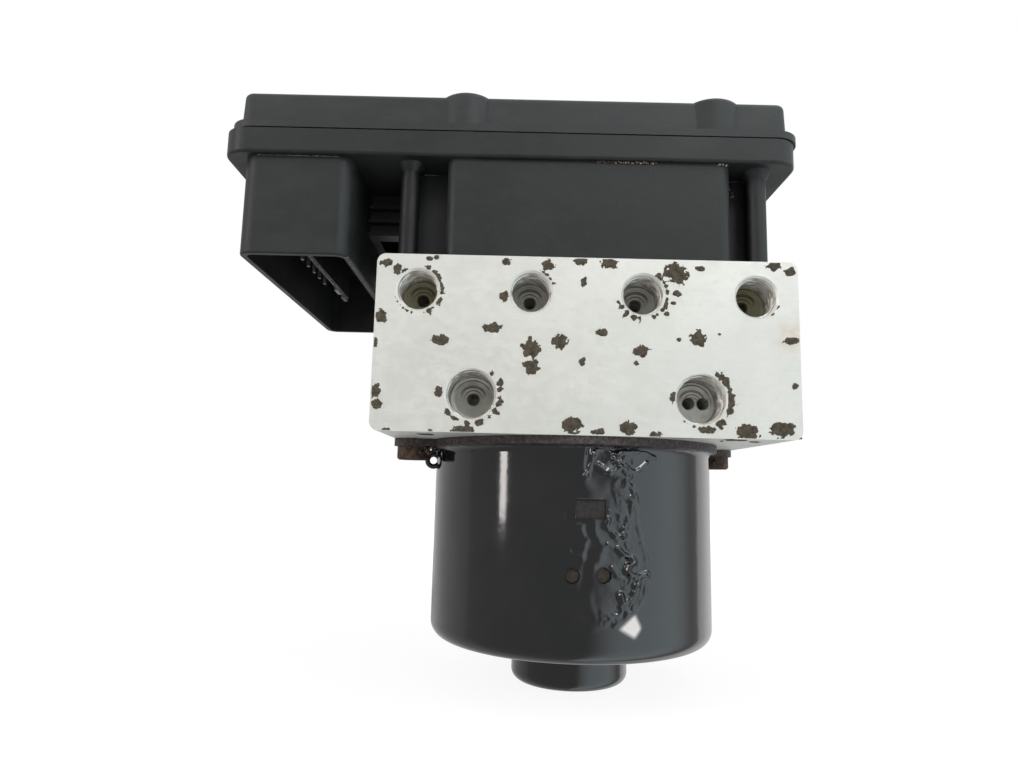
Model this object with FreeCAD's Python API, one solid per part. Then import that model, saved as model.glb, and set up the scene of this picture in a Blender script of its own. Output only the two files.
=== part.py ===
import FreeCAD, Part
import math
import os

os.makedirs("parts", exist_ok=True)

V = FreeCAD.Vector

# Anti-lock brake module: valve block in the middle, control unit on top, pump motor below.
# Millimetres, +Z up. The origin is the mouth of the fixing hole in the middle of the block's rear
# face, +X runs to the right along the block, and the pipe ports face -Y.

# Valve block, a length of extruded aluminium bar
block_width = 104.0
block_depth = 88.0
block_height = 44.0
block_corner = 2.2

# Pipe ports in the front face: four for the wheels, two for the master cylinder
wheel_port_radius = 5.0
wheel_port_mouth = 5.5
wheel_port_depth = 9.8
wheel_port_height = 13.0
wheel_port_inner_spacing = 27.6
wheel_port_outer_spacing = 83.4
master_port_radius = 6.0
master_port_mouth = 6.35
master_port_depth = 9.4
master_port_height = -12.7
master_port_spacing = 55.6
drilling_radius = 1.6
drill_point_angle = 118.0
master_drilling_depth = 22.0
twin_drilling_offsets = (-0.9, 2.7)

# Fixing holes for the bracket, one in the rear face and one in each end
fixing_radius = 4.0
fixing_depth = 12.0
end_fixing_setbacks = (14.0, 17.0)
end_fixing_height = -3.0

# Solenoid valves, two rows of four in the top face
valve_spacing_inner = 22.0
valve_spacing_outer = 60.0
inlet_row = -62.5
outlet_row = -23.0
valve_seat_radius = 5.5
valve_seat_depth = 15.0
valve_press_clearance = 0.02
valve_channel_radius = 1.5
valve_channel_length = 3.0
dome_radius = 3.3
dome_wall = 0.7
dome_headroom = 4.7
plunger_headroom = 4.9
plunger_lift = 0.7
plunger_clearance = 0.05
plunger_pin_radius = 0.9
plunger_pin_clearance = 0.12
plunger_pin_length = 9.0
valve_floor = 0.5

# Sealing balls that close the cross drillings
ball_radius = 3.0
ball_clearance = 0.02
ball_seat_depth = 6.4

# Pump: two pistons that face each other across the eccentric
pump_height = 0.0
piston_radius = 4.0
piston_clearance = 0.05
piston_cam_gap = 0.3
piston_edge = 0.8
plug_radius = 8.0
plug_length = 9.0
plug_clearance = 0.02
plug_recess_radius = 4.5
plug_recess_depth = 3.0
plug_recess_draft = 0.8
plug_chamfer = 0.6
pump_spring_radius = 3.1
pump_spring_wire = 0.8
pump_spring_turns = 5
pump_spring_space = 8.7
spring_end_gap = 0.2

# Low-pressure accumulators in the rear face
accumulator_inset = 25.0
accumulator_height = -8.0
accumulator_radius = 10.0
accumulator_depth = 26.0
accumulator_clearance = 0.05
accumulator_piston_length = 8.0
accumulator_skirt_wall = 1.6
accumulator_crown = 3.0
accumulator_back_gap = 0.5
accumulator_edge = 0.6
accumulator_cap_thickness = 3.5
cap_chamfer = 0.5
cap_rim = 2.0
cap_dish = 1.2
accumulator_spring_radius = 7.0
accumulator_spring_wire = 1.6
accumulator_spring_turns = 4

# Pump motor: a deep-drawn steel can with a bearing boss and a flange with two ears
motor_setback = 42.0
can_radius = 39.5
can_wall = 2.5
can_length = 53.9
can_bottom_radius = 4.1
boss_radius = 16.3
boss_length = 12.0
boss_edge_radius = 2.8
flange_reach = 2.1
flange_thickness = 2.0
flange_bend_radius = 2.0
ear_reach = 6.9
ear_turn = 13.6
ear_radius = 5.5
motor_screw_radius = 2.5
motor_screw_head_radius = 4.6
motor_screw_head_height = 3.8
motor_screw_depth = 11.0
motor_screw_hole_clearance = 0.4
motor_screw_edge = 0.5
screw_tip_gap = 1.0
thread_clearance = 0.02
dimple_sites = ((-3.8, -33.0), (7.0, -32.8))
dimple_radius = 1.9
dimple_depth = 0.5
pocket_turn = 2.5
pocket_drop = 17.35
pocket_width = 7.2
pocket_height = 4.7
pocket_depth = 0.4
socket_radius = 2.2
socket_depth = 2.2
lug_reach = 1.0
lug_turn = 189.9
lug_ring_radius = 1.7
lug_wire_radius = 0.7
seal_inset = 0.5
seal_section_radius = 0.7
seal_clearance = 0.1
magnet_thickness = 5.0
magnet_overhang = 12.0
magnet_arc = 130.0
magnet_clearance = 0.05
magnet_floor_gap = 4.5

# Motor bearings, alike at both ends of the shaft
bearing_outer_radius = 13.0
bearing_width = 8.0
bearing_race = 2.1
bearing_fit = 0.03
bearing_ball_count = 7
bearing_ball_radius = 2.0
bearing_ball_clearance = 0.05
bearing_boss_gap = 0.4

# Rotor: shaft, eccentric, armature and commutator
shaft_radius = 5.0
shaft_fit = 0.01
eccentric_offset = 1.5
eccentric_radius = 7.0
eccentric_width = 10.0
ring_radius = 10.5
ring_clearance = 0.05
ring_wall = 1.4
needle_radius = 1.0
needle_count = 14
needle_end_gap = 0.5
shaft_neck_radius = 4.4
shaft_nose = 2.0
chamber_headroom = 3.0
air_gap = 0.65
core_floor_gap = 7.4
slot_count = 12
slot_width = 7.0
slot_inner_radius = 15.0
tooth_tip = 4.3
slot_corner = 2.0
slot_mouth = 2.4
winding_overhang = 5.6
winding_inner_radius = 8.5
winding_inset = 2.8
winding_shoulder = 2.0
commutator_radius = 11.0
commutator_length = 8.4
commutator_bore_gap = 0.01
commutator_groove = 0.6
commutator_groove_depth = 1.0
commutator_gap = 4.0

# Brush plate, brushes and the leads up through the block
brush_plate_clearance = 0.4
brush_plate_thickness = 2.6
brush_plate_bore = 14.0
brush_width = 6.0
brush_length = 9.0
brush_height = 4.6
brush_gap = 0.05
brush_clearance = 0.1
brush_plate_gap = 0.6
holder_wall = 1.2
holder_length = 11.8
holder_gap = 2.0
leaf_thickness = 0.3
post_setback = 24.0
post_radius = 4.4
post_clearance = 0.1
terminal_width = 5.0
terminal_thickness = 0.8
terminal_pitch = 4.0

# Control unit: housing, gasket, circuit board and lid
gasket_thickness = 0.8
gasket_width = 1.6
flange_left = -95.3
flange_right = 55.6
flange_front = -84.2
flange_back = 15.4
flange_corner = 6.5
housing_height = 27.8
flange_height = 6.7
flange_edge = 0.8
floor_thickness = 2.5
tray_wall = 3.0
coil_box_left = -36.1
coil_box_right = 37.8
coil_box_front = -82.8
coil_box_corner = 3.0
smallest_corner = 0.4
skirt_left = -46.0
skirt_right = 45.8
skirt_front = -72.0
skirt_back = -1.5
skirt_corner = 1.8
skirt_wall = 2.5
left_post_position = (-46.2, -77.6)
left_post_radius = 2.5
right_post_position = (45.8, -77.6)
right_post_radius = 2.5
post_blend_radius = 3.8
post_blend_height = 2.4
post_web = 1.6
bridge_front = -57.0
bridge_back = -10.0
bridge_drop = 13.2
bridge_wall = 2.5
bridge_rib_count = 3
bridge_rib_pitch = 4.1
bridge_rib_thickness = 1.0
bridge_rib_depth = 2.5

# Connector shroud, which opens downwards beside the block
shroud_left = -89.7
shroud_right = -60.7
shroud_front = -82.4
shroud_back = 14.0
shroud_corner = 4.0
shroud_edge = 0.5
shroud_length = 26.6
shroud_wall = 1.8
shroud_floor_thickness = 4.2
key_rib_position = -73.2
key_rib_thickness = 1.4
key_rib_recess = 2.4
key_rib_end = -29.0
pin_rows = (-83.0, -79.0, -69.2, -65.6)
pin_count = 9
pin_pitch = 6.6
pin_first = -74.0
pin_width = 1.5
pin_thickness = 0.8
pin_length = 13.0
power_pin_rows = (-81.0, -67.4)
power_pin_first = -10.5
power_pin_count = 2
power_pin_pitch = 10.0
power_pin_width = 6.0
power_pin_thickness = 1.2

# Lid with four screw columns
lid_flange_thickness = 2.4
lid_flange_inset = 0.1
lid_flange_offset = 1.0
lid_flange_corner = 7.0
lid_height = 11.5
lid_seam_height = 0.4
lid_seam_depth = 0.7
lid_wall = 2.5
lid_inset_left = 3.6
lid_inset_right = 2.0
lid_inset_front = 2.2
lid_inset_back = 2.2
lid_corner = 3.0
lid_draft = 0.5
lid_edge_radius = 1.6
column_x = (-31.7, 34.4)
column_y = (-76.0, -6.5)
column_radius = 7.8
column_core_radius = 5.0
column_rise = 0.2
column_edge = 1.4
column_well_radius = 3.7
column_well_depth = 5.2
housing_boss_radius = 3.9
housing_screw_radius = 2.0
housing_screw_clearance = 0.2
housing_screw_head_radius = 3.4
housing_screw_head_height = 3.0
housing_screw_depth = 12.0
housing_screw_edge = 0.5
housing_socket_radius = 1.6
housing_socket_depth = 1.8

# Circuit board and coils
board_thickness = 1.6
board_gap = 1.0
board_margin = 2.0
board_corner = 2.0
chip_sink = 0.1
board_rest_size = 4.0
board_column_clearance = 0.5
chips = ((-20.0, -50.0, 18.0, 18.0, 2.0), (12.0, -52.0, 12.0, 10.0, 1.6), (16.0, -22.0, 9.0, 12.0, 1.6))
coil_radius = 7.4
coil_dome_gap = 0.2
coil_lift = 1.4
coil_roof_gap = 0.3
chamber_roof_thickness = 2.5

# Planes and centres that several pieces share
front = -block_depth
top = block_height / 2
bottom = -block_height / 2
end = block_width / 2
motor_y = front + motor_setback
gasket_top = top + gasket_thickness
flange_underside = top + housing_height
seam_height = flange_underside + flange_height
lid_top = seam_height + lid_height
column_top = lid_top + column_rise
well_floor = column_top - column_well_depth
chamber_roof = flange_underside - chamber_roof_thickness
board_underside = flange_underside + floor_thickness + board_gap
bridge_underside = flange_underside - bridge_drop
shroud_rim = flange_underside - shroud_length
shroud_floor = flange_underside - shroud_floor_thickness
dome_height = chamber_roof - top - dome_headroom
plunger_length = dome_height - 2 * dome_wall - valve_floor - plunger_lift - plunger_headroom
can_bottom = bottom - can_length
boss_bottom = can_bottom - boss_length
can_inner = can_radius - can_wall
flange_radius = can_radius + flange_reach
ear_distance = can_radius + ear_reach
seal_groove_radius = can_radius - seal_inset
core_radius = can_inner - magnet_clearance - magnet_thickness - air_gap
slot_outer_radius = core_radius - tooth_tip
winding_outer_radius = core_radius - winding_inset
bearing_seat = bearing_outer_radius + bearing_fit
ring_top = pump_height + eccentric_width / 2
ring_bottom = pump_height - eccentric_width / 2
piston_tip = ring_radius + eccentric_offset + piston_cam_gap
piston_length = end - plug_length - pump_spring_space - piston_tip
accumulator_floor = -accumulator_depth
accumulator_x = end - accumulator_inset
valve_sites = [(side * spacing / 2, row)
               for row in (inlet_row, outlet_row)
               for spacing, side in ((valve_spacing_outer, -1), (valve_spacing_inner, -1),
                                     (valve_spacing_inner, 1), (valve_spacing_outer, 1))]
column_sites = [(x, y) for y in column_y for x in column_x]
rear_bearing_bottom = boss_bottom + can_wall + bearing_boss_gap
core_bottom = can_bottom + can_wall + core_floor_gap
commutator_top = bottom - commutator_gap
core_top = commutator_top - commutator_length - winding_overhang
magnet_length = core_top - core_bottom + magnet_overhang
lid_flange_top = seam_height + lid_flange_thickness


def box(x, y, z):
    """A block between the two ends given for each axis."""
    size = [max(pair) - min(pair) for pair in (x, y, z)]
    return Part.makeBox(size[0], size[1], size[2], V(min(x), min(y), min(z)))


def aim(shape, direction, point):
    """Turns a shape made along +Z to a direction and sets its foot on a point."""
    placed = shape.copy()
    turn = FreeCAD.Placement(point, FreeCAD.Rotation(V(0, 0, 1), direction))
    placed.Placement = turn.multiply(shape.Placement)
    return placed


def turned(profile, x=0.0, y=0.0):
    """A solid of revolution about the vertical line through x, y, from (radius, height) points."""
    points = [V(radius, 0, height) for radius, height in profile]
    face = Part.Face(Part.makePolygon(points + points[:1]))
    solid = face.revolve(V(0, 0, 0), V(0, 0, 1), 360)
    solid.translate(V(x, y, 0))
    return solid


def rod(radius, low, high, x=0.0, y=0.0):
    """An upright cylinder between two heights."""
    return Part.makeCylinder(radius, high - low, V(x, y, low))


def sleeve(inner, outer, low, high, x=0.0, y=0.0):
    """An upright tube between two heights."""
    return turned([(inner, low), (outer, low), (outer, high), (inner, high)], x, y)


def outline(x, y, corner, z):
    """A rectangle with rounded corners, as a wire at height z."""
    (x0, x1), (y0, y1) = x, y
    s = corner * (1 - math.sqrt(0.5))
    c = corner
    corners = [((x1 - c, y0), (x1 - s, y0 + s), (x1, y0 + c)), ((x1, y1 - c), (x1 - s, y1 - s), (x1 - c, y1)),
               ((x0 + c, y1), (x0 + s, y1 - s), (x0, y1 - c)), ((x0, y0 + c), (x0 + s, y0 + s), (x0 + c, y0))]
    edges = []
    for index, (first, middle, last) in enumerate(corners):
        edges.append(Part.Arc(V(*first, z), V(*middle, z), V(*last, z)).toShape())
        following = corners[(index + 1) % 4][0]
        edges.append(Part.LineSegment(V(*last, z), V(*following, z)).toShape())
    return Part.Wire(edges)


def plate(x, y, z, corner):
    """A slab with rounded upright corners."""
    face = Part.Face(outline(x, y, corner, z[0]))
    return face.extrude(V(0, 0, z[1] - z[0]))


def hexagon(radius, x, y, z):
    """An upright hexagonal prism, for the socket of a screw."""
    corners = [V(x + radius * math.cos(math.radians(60 * i)), y + radius * math.sin(math.radians(60 * i)), z[0])
               for i in range(7)]
    return Part.Face(Part.makePolygon(corners)).extrude(V(0, 0, z[1] - z[0]))


def grown(pair, amount):
    """A span made longer by an amount at both ends, or shorter with a negative one."""
    return (pair[0] - amount, pair[1] + amount)


def joined(shapes):
    """One solid from shapes that share material, with its seams removed."""
    return shapes[0].fuse(shapes[1:]).removeSplitter()


def spring(radius, wire, turns, length):
    """A square-wire compression spring along +Z, from its foot at zero to its length."""
    pitch = (length - wire) / turns
    helix = Part.makeHelix(pitch, pitch * turns, radius)
    half = wire / 2
    corners = [V(radius + x * half, 0, z * half) for x, z in ((-1, -1), (1, -1), (1, 1), (-1, 1), (-1, -1))]
    coil = Part.Wire(helix).makePipeShell([Part.makePolygon(corners)], True, True)
    coil.translate(V(0, 0, wire / 2))
    return coil


def rounded(solid, fillet, radius, height):
    """Rounds the circular edge of a given radius at a height."""
    ring = [edge for edge in solid.Edges
            if abs(edge.BoundBox.ZMax - height) < 0.01 and abs(edge.BoundBox.ZMin - height) < 0.01
            and isinstance(edge.Curve, Part.Circle) and abs(edge.Curve.Radius - radius) < 0.01]
    return solid.makeFillet(fillet, ring)


def write(name, shape):
    """Writes one sub-part after a check that it is sound."""
    if not shape.isValid():
        raise ValueError(name + " is not a valid shape")
    shape.exportStep("parts/" + name + ".step")


def port_tool(mouth, radius, depth, reach):
    """The cut of a countersunk, drilled port, with its mouth at zero and going up."""
    point_height = (radius - drilling_radius) / math.tan(math.radians(drill_point_angle / 2))
    profile = [(0, -1), (mouth, -1), (mouth, 0), (radius, mouth - radius), (radius, depth),
               (drilling_radius, depth + point_height), (drilling_radius, reach), (0, reach)]
    return turned(profile)


def blind_hole(radius, depth):
    """The cut of a blind hole with a drill point."""
    point_height = radius / math.tan(math.radians(drill_point_angle / 2))
    return turned([(0, -1), (radius, -1), (radius, depth), (0, depth + point_height)])


def ear_site(side):
    """Centre of one of the motor flange's ears, as an offset from the motor axis."""
    angle = math.radians(ear_turn)
    return (side * ear_distance * math.cos(angle), side * ear_distance * math.sin(angle))


def make_valve_block():
    """The bar, with its ports, valve seats, pump bore, accumulator bores and drillings."""
    section = outline((-end, end), (bottom, top), block_corner, 0)
    section.rotate(V(0, 0, 0), V(1, 0, 0), 90)
    block = Part.Face(section).extrude(V(0, -block_depth, 0))
    cuts = []
    for spacing in (wheel_port_inner_spacing, wheel_port_outer_spacing):
        for side in (-1, 1):
            reach = inlet_row - front
            tool = port_tool(wheel_port_mouth, wheel_port_radius, wheel_port_depth, reach)
            cuts.append(aim(tool, V(0, 1, 0), V(side * spacing / 2, front, wheel_port_height)))
    left_mouth = V(-master_port_spacing / 2, front, master_port_height)
    right_mouth = V(master_port_spacing / 2, front, master_port_height)
    pointed = port_tool(master_port_mouth, master_port_radius, master_port_depth, master_drilling_depth)
    flat = turned([(0, -1), (master_port_mouth, -1), (master_port_mouth, 0),
                   (master_port_radius, master_port_mouth - master_port_radius),
                   (master_port_radius, master_port_depth), (0, master_port_depth)])
    cuts += [aim(pointed, V(0, 1, 0), left_mouth), aim(flat, V(0, 1, 0), right_mouth)]
    for offset in twin_drilling_offsets:
        drilling = Part.makeCylinder(drilling_radius, master_drilling_depth)
        cuts.append(aim(drilling, V(0, 1, 0), right_mouth + V(offset, 0, 0)))
    hole = blind_hole(fixing_radius, fixing_depth)
    cuts.append(aim(hole, V(0, -1, 0), V(0, 0, 0)))
    for side, setback in zip((-1, 1), end_fixing_setbacks):
        cuts.append(aim(hole, V(-side, 0, 0), V(side * end, -setback, end_fixing_height)))
    seat_floor = top - valve_seat_depth
    for x, y in valve_sites:
        cuts.append(rod(valve_seat_radius, seat_floor, top + 1, x, y))
        cuts.append(rod(valve_channel_radius, seat_floor - valve_channel_length, seat_floor, x, y))
    for side in (-1, 1):
        start = V(side * end, inlet_row, wheel_port_height)
        reach = end - valve_spacing_outer / 2
        cuts.append(aim(Part.makeCylinder(drilling_radius, reach), V(-side, 0, 0), start))
        cuts.append(aim(Part.makeCylinder(ball_radius + ball_clearance, ball_seat_depth), V(-side, 0, 0), start))
    cuts.append(rod(bearing_seat, bottom - 1, ring_top + chamber_headroom, 0, motor_y))
    for side in (-1, 1):
        start = V(side * end, motor_y, pump_height)
        cuts.append(aim(Part.makeCylinder(piston_radius + piston_clearance, end), V(-side, 0, 0), start))
        cuts.append(aim(Part.makeCylinder(plug_radius + plug_clearance, plug_length), V(-side, 0, 0), start))
        bore = Part.makeCylinder(accumulator_radius + accumulator_clearance, accumulator_depth)
        cuts.append(aim(bore, V(0, -1, 0), V(side * accumulator_x, 0, accumulator_height)))
        ear_x, ear_y = ear_site(side)
        cuts.append(rod(motor_screw_radius + thread_clearance, bottom - 1, bottom + motor_screw_depth,
                        ear_x, motor_y + ear_y))
    for x, y in column_sites:
        cuts.append(rod(housing_screw_radius + thread_clearance, top - housing_screw_depth, top + 1, x, y))
    cuts.append(rod(post_radius + post_clearance, bottom - 1, top + 1, 0, motor_y + post_setback))
    groove = sleeve(seal_groove_radius - seal_section_radius - seal_clearance,
                    seal_groove_radius + seal_section_radius + seal_clearance,
                    bottom - 1, bottom + 2 * seal_section_radius, 0, motor_y)
    cuts.append(groove)
    return block.cut(cuts)


def make_sealing_balls():
    """One steel ball pressed into the mouth of each cross drilling."""
    depth = ball_seat_depth - ball_radius
    balls = [Part.makeSphere(ball_radius, V(side * (end - depth), inlet_row, wheel_port_height))
             for side in (-1, 1)]
    return Part.makeCompound(balls)


def make_valve_housing(x, y):
    """A turned cartridge: pressed into the block below, with a closed dome for its plunger above."""
    seat = valve_seat_radius - valve_press_clearance
    floor = top - valve_seat_depth
    pin_bore = plunger_pin_radius + plunger_pin_clearance
    cavity = dome_radius - dome_wall
    roof = top + dome_height - dome_wall
    outer = turned([(0, floor), (seat, floor), (seat, top), (dome_radius, top),
                    (dome_radius, top + dome_height - dome_wall), (dome_radius - dome_wall, top + dome_height),
                    (0, top + dome_height)], x, y)
    inner = turned([(0, floor - 1), (pin_bore, floor - 1), (pin_bore, top + valve_floor),
                    (cavity, top + valve_floor), (cavity, roof - dome_wall), (0, roof - dome_wall)], x, y)
    return outer.cut(inner)


def make_valve_plunger(x, y):
    """The iron plunger with the pin that opens or closes the valve."""
    radius = dome_radius - dome_wall - plunger_clearance
    foot = top + valve_floor + plunger_lift
    return turned([(0, foot - plunger_pin_length), (plunger_pin_radius, foot - plunger_pin_length),
                   (plunger_pin_radius, foot), (radius, foot), (radius, foot + plunger_length),
                   (0, foot + plunger_length)], x, y)


def make_pump_plug(side):
    """The turned plug that closes one pump bore in the block's end."""
    solid = turned([(0, 0), (plug_radius, 0), (plug_radius, plug_length - plug_chamfer),
                    (plug_radius - plug_chamfer, plug_length), (plug_recess_radius, plug_length),
                    (plug_recess_radius - plug_recess_draft, plug_length - plug_recess_depth),
                    (0, plug_length - plug_recess_depth)])
    return aim(solid, V(side, 0, 0), V(side * (end - plug_length), motor_y, pump_height))


def make_pump_piston(side):
    """A pump piston, with a rounded tip that meets the eccentric's ring and a spring seat behind."""
    nose = piston_radius / 2
    tail = piston_edge / 2
    solid = turned([(0, 0), (nose, 0), (piston_radius, piston_edge), (piston_radius, piston_length - tail),
                    (piston_radius - tail, piston_length), (0, piston_length)])
    return aim(solid, V(side, 0, 0), V(side * piston_tip, motor_y, pump_height))


def make_pump_spring(side):
    """The return spring between a pump piston and its plug."""
    start = piston_tip + piston_length + spring_end_gap
    length = end - plug_length - spring_end_gap - start
    coil = spring(pump_spring_radius, pump_spring_wire, pump_spring_turns, length)
    return aim(coil, V(side, 0, 0), V(side * start, motor_y, pump_height))


def make_accumulator_piston(side):
    """A cup-shaped piston that rests at the inner end of its bore."""
    radius = accumulator_radius
    hollow = radius - accumulator_skirt_wall
    cup = turned([(0, 0), (radius - accumulator_edge, 0), (radius, accumulator_edge),
                  (radius, accumulator_piston_length),
                  (hollow, accumulator_piston_length), (hollow, accumulator_crown), (0, accumulator_crown)])
    start = accumulator_floor + accumulator_back_gap
    return aim(cup, V(0, 1, 0), V(side * accumulator_x, start, accumulator_height))


def make_accumulator_spring(side):
    """The spring between an accumulator piston's crown and the cap."""
    start = accumulator_floor + accumulator_back_gap + accumulator_crown + spring_end_gap
    length = -accumulator_cap_thickness - spring_end_gap - start
    coil = spring(accumulator_spring_radius, accumulator_spring_wire, accumulator_spring_turns, length)
    return aim(coil, V(0, 1, 0), V(side * accumulator_x, start, accumulator_height))


def make_accumulator_cap(side):
    """The dished cap staked into an accumulator bore, level with the rear face."""
    t = accumulator_cap_thickness
    r = accumulator_radius
    cap = turned([(0, 0), (r, 0), (r, t - cap_chamfer), (r - cap_chamfer, t), (r - cap_rim, t),
                  (r - cap_rim - cap_dish, t - cap_dish), (0, t - cap_dish)])
    return aim(cap, V(0, 1, 0), V(side * accumulator_x, -t, accumulator_height))


def make_motor_can():
    """The deep-drawn can: flange with two ears, cylinder with two dimples and a stamp pocket, foot and boss."""
    flange_face = bottom - flange_thickness
    flange_parts = []
    for side in (-1, 1):
        ear_x, ear_y = ear_site(side)
        ear = rod(ear_radius, flange_face, bottom, ear_x, motor_y + ear_y)
        arm = box((0, ear_distance), (-ear_radius, ear_radius), (flange_face, bottom))
        arm.rotate(V(0, 0, 0), V(0, 0, 1), ear_turn if side > 0 else 180 + ear_turn)
        arm.translate(V(0, motor_y, 0))
        flange_parts += [ear, arm]
    body = turned([(0, boss_bottom), (boss_radius, boss_bottom), (boss_radius, can_bottom), (can_radius, can_bottom),
                   (can_radius, flange_face), (flange_radius, flange_face), (flange_radius, bottom), (0, bottom)],
                  0, motor_y)
    body = rounded(body, boss_edge_radius, boss_radius, boss_bottom)
    body = rounded(body, can_bottom_radius, can_radius, can_bottom)
    body = rounded(body, flange_bend_radius, can_radius, flange_face)
    inner_foot = can_bottom + can_wall
    boss_floor = boss_bottom + can_wall
    hollow = turned([(0, boss_floor), (bearing_seat, boss_floor), (bearing_seat, inner_foot), (can_inner, inner_foot),
                     (can_inner, bottom + 1), (0, bottom + 1)], 0, motor_y)
    hollow = rounded(hollow, can_bottom_radius - can_wall, can_inner, inner_foot)
    lug_angle = math.radians(lug_turn)
    lug_x = (can_radius + lug_reach) * math.cos(lug_angle)
    lug_y = (can_radius + lug_reach) * math.sin(lug_angle)
    lug_height = flange_face - flange_bend_radius - lug_ring_radius
    lug = Part.makeTorus(lug_ring_radius, lug_wire_radius, V(lug_x, motor_y + lug_y, lug_height), V(0, 1, 0))
    stem = rod(lug_wire_radius, lug_height + lug_ring_radius, flange_face, lug_x, motor_y + lug_y)
    can = joined(flange_parts + [body, lug, stem])
    holes = [rod(motor_screw_radius + motor_screw_hole_clearance, flange_face - 1, bottom + 1,
                 ear_site(side)[0], motor_y + ear_site(side)[1]) for side in (-1, 1)]
    marks = []
    for angle, drop in dimple_sites:
        dimple = Part.makeCylinder(dimple_radius, 2 * dimple_depth, V(0, -can_radius - dimple_depth, bottom + drop),
                                   V(0, 1, 0))
        marks.append((dimple, angle))
    half = pocket_width / 2
    pocket = box((-half, half), (-can_radius - pocket_depth, -can_radius + pocket_depth),
                 (bottom - pocket_drop - pocket_height / 2, bottom - pocket_drop + pocket_height / 2))
    marks.append((pocket, pocket_turn))
    for mark, angle in marks:
        mark.rotate(V(0, 0, 0), V(0, 0, 1), angle)
        mark.translate(V(0, motor_y, 0))
    return can.cut([hollow] + holes + [mark for mark, angle in marks])


def make_motor_screws():
    """Two cap screws that hold the motor's ears to the block."""
    screws = []
    head_top = bottom - flange_thickness
    head_bottom = head_top - motor_screw_head_height
    tip = bottom + motor_screw_depth - screw_tip_gap
    for side in (-1, 1):
        ear_x, ear_y = ear_site(side)
        x = ear_x
        y = motor_y + ear_y
        head = turned([(0, head_bottom), (motor_screw_head_radius - motor_screw_edge, head_bottom),
                       (motor_screw_head_radius, head_bottom + motor_screw_edge), (motor_screw_head_radius, head_top),
                       (motor_screw_radius, head_top), (motor_screw_radius, tip), (0, tip)], x, y)
        screws.append(head.cut(hexagon(socket_radius, x, y, (head_bottom, head_bottom + socket_depth))))
    return Part.makeCompound(screws)


def make_motor_seal():
    """The square-section rubber ring in the groove between the block and the motor flange."""
    inner = seal_groove_radius - seal_section_radius
    outer = seal_groove_radius + seal_section_radius
    return sleeve(inner, outer, bottom, bottom + 2 * seal_section_radius - seal_clearance, 0, motor_y)


def make_magnet(side):
    """One arc magnet against the can's wall, on the near or the far side."""
    low = can_bottom + can_wall + magnet_floor_gap
    outer = can_inner - magnet_clearance
    shell = sleeve(outer - magnet_thickness, outer, low, low + magnet_length)
    reach = 2 * can_radius
    half = math.radians(magnet_arc / 2)
    wedge = Part.makePolygon([V(0, 0, low), V(reach * math.sin(-half), reach * math.cos(half), low),
                              V(0, reach * 2, low), V(reach * math.sin(half), reach * math.cos(half), low),
                              V(0, 0, low)])
    arc = shell.common(Part.Face(wedge).extrude(V(0, 0, magnet_length)))
    if side < 0:
        arc.rotate(V(0, 0, 0), V(0, 0, 1), 180)
    arc.translate(V(0, motor_y, 0))
    return arc


def bearing_rings(low):
    """Outer and inner ring of a ball bearing, each with its raceway, and the place of its balls."""
    middle = low + bearing_width / 2
    pitch = (bearing_outer_radius + shaft_radius) / 2
    race = Part.makeTorus(pitch, bearing_ball_radius + bearing_ball_clearance, V(0, motor_y, middle))
    outer = sleeve(bearing_outer_radius - bearing_race, bearing_outer_radius, low, low + bearing_width, 0, motor_y)
    inner = sleeve(shaft_radius + shaft_fit, shaft_radius + bearing_race, low, low + bearing_width, 0, motor_y)
    return outer.cut(race), inner.cut(race), pitch, middle


def bearing_balls(pitch, middle):
    """The balls of one bearing."""
    balls = []
    for index in range(bearing_ball_count):
        angle = 2 * math.pi * index / bearing_ball_count
        centre = V(pitch * math.cos(angle), motor_y + pitch * math.sin(angle), middle)
        balls.append(Part.makeSphere(bearing_ball_radius, centre))
    return balls


def make_motor_shaft():
    """The shaft, with the eccentric journal for the pump near its upper end."""
    foot = rear_bearing_bottom
    neck_start = bottom + bearing_width
    shaft = rod(shaft_radius, foot, neck_start, 0, motor_y)
    neck = rod(shaft_neck_radius, neck_start, ring_top + shaft_nose, 0, motor_y)
    journal = rod(eccentric_radius, ring_bottom, ring_top, 0, motor_y - eccentric_offset)
    return joined([shaft, neck, journal])


def make_eccentric_ring():
    """The outer shell of the needle bearing on the eccentric, which pushes the pistons."""
    inner = ring_radius - ring_wall
    return sleeve(inner, ring_radius, ring_bottom, ring_top, 0, motor_y - eccentric_offset)


def make_eccentric_needles():
    """The needles that roll between the eccentric and its ring."""
    gap = ring_radius - ring_wall - eccentric_radius
    pitch = eccentric_radius + gap / 2
    radius = gap / 2 - ring_clearance
    needles = []
    for index in range(needle_count):
        angle = 2 * math.pi * index / needle_count
        needles.append(rod(radius, ring_bottom + needle_end_gap, ring_top - needle_end_gap, pitch * math.cos(angle),
                           motor_y - eccentric_offset + pitch * math.sin(angle)))
    return Part.makeCompound(needles)


def make_armature_core():
    """The stack of laminations, with slots for the windings."""
    core = sleeve(shaft_radius, core_radius, core_bottom, core_top)
    half = slot_width / 2
    pocket = plate((slot_inner_radius, slot_outer_radius), (-half, half), (core_bottom - 1, core_top + 1), slot_corner)
    mouth = box((slot_outer_radius - 1, core_radius + 1), (-slot_mouth / 2, slot_mouth / 2),
                (core_bottom - 1, core_top + 1))
    slot = pocket.fuse(mouth)
    slots = []
    for index in range(slot_count):
        cut = slot.copy()
        cut.rotate(V(0, 0, 0), V(0, 0, 1), 360 * index / slot_count)
        slots.append(cut)
    core = core.cut(slots)
    core.translate(V(0, motor_y, 0))
    return core


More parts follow.
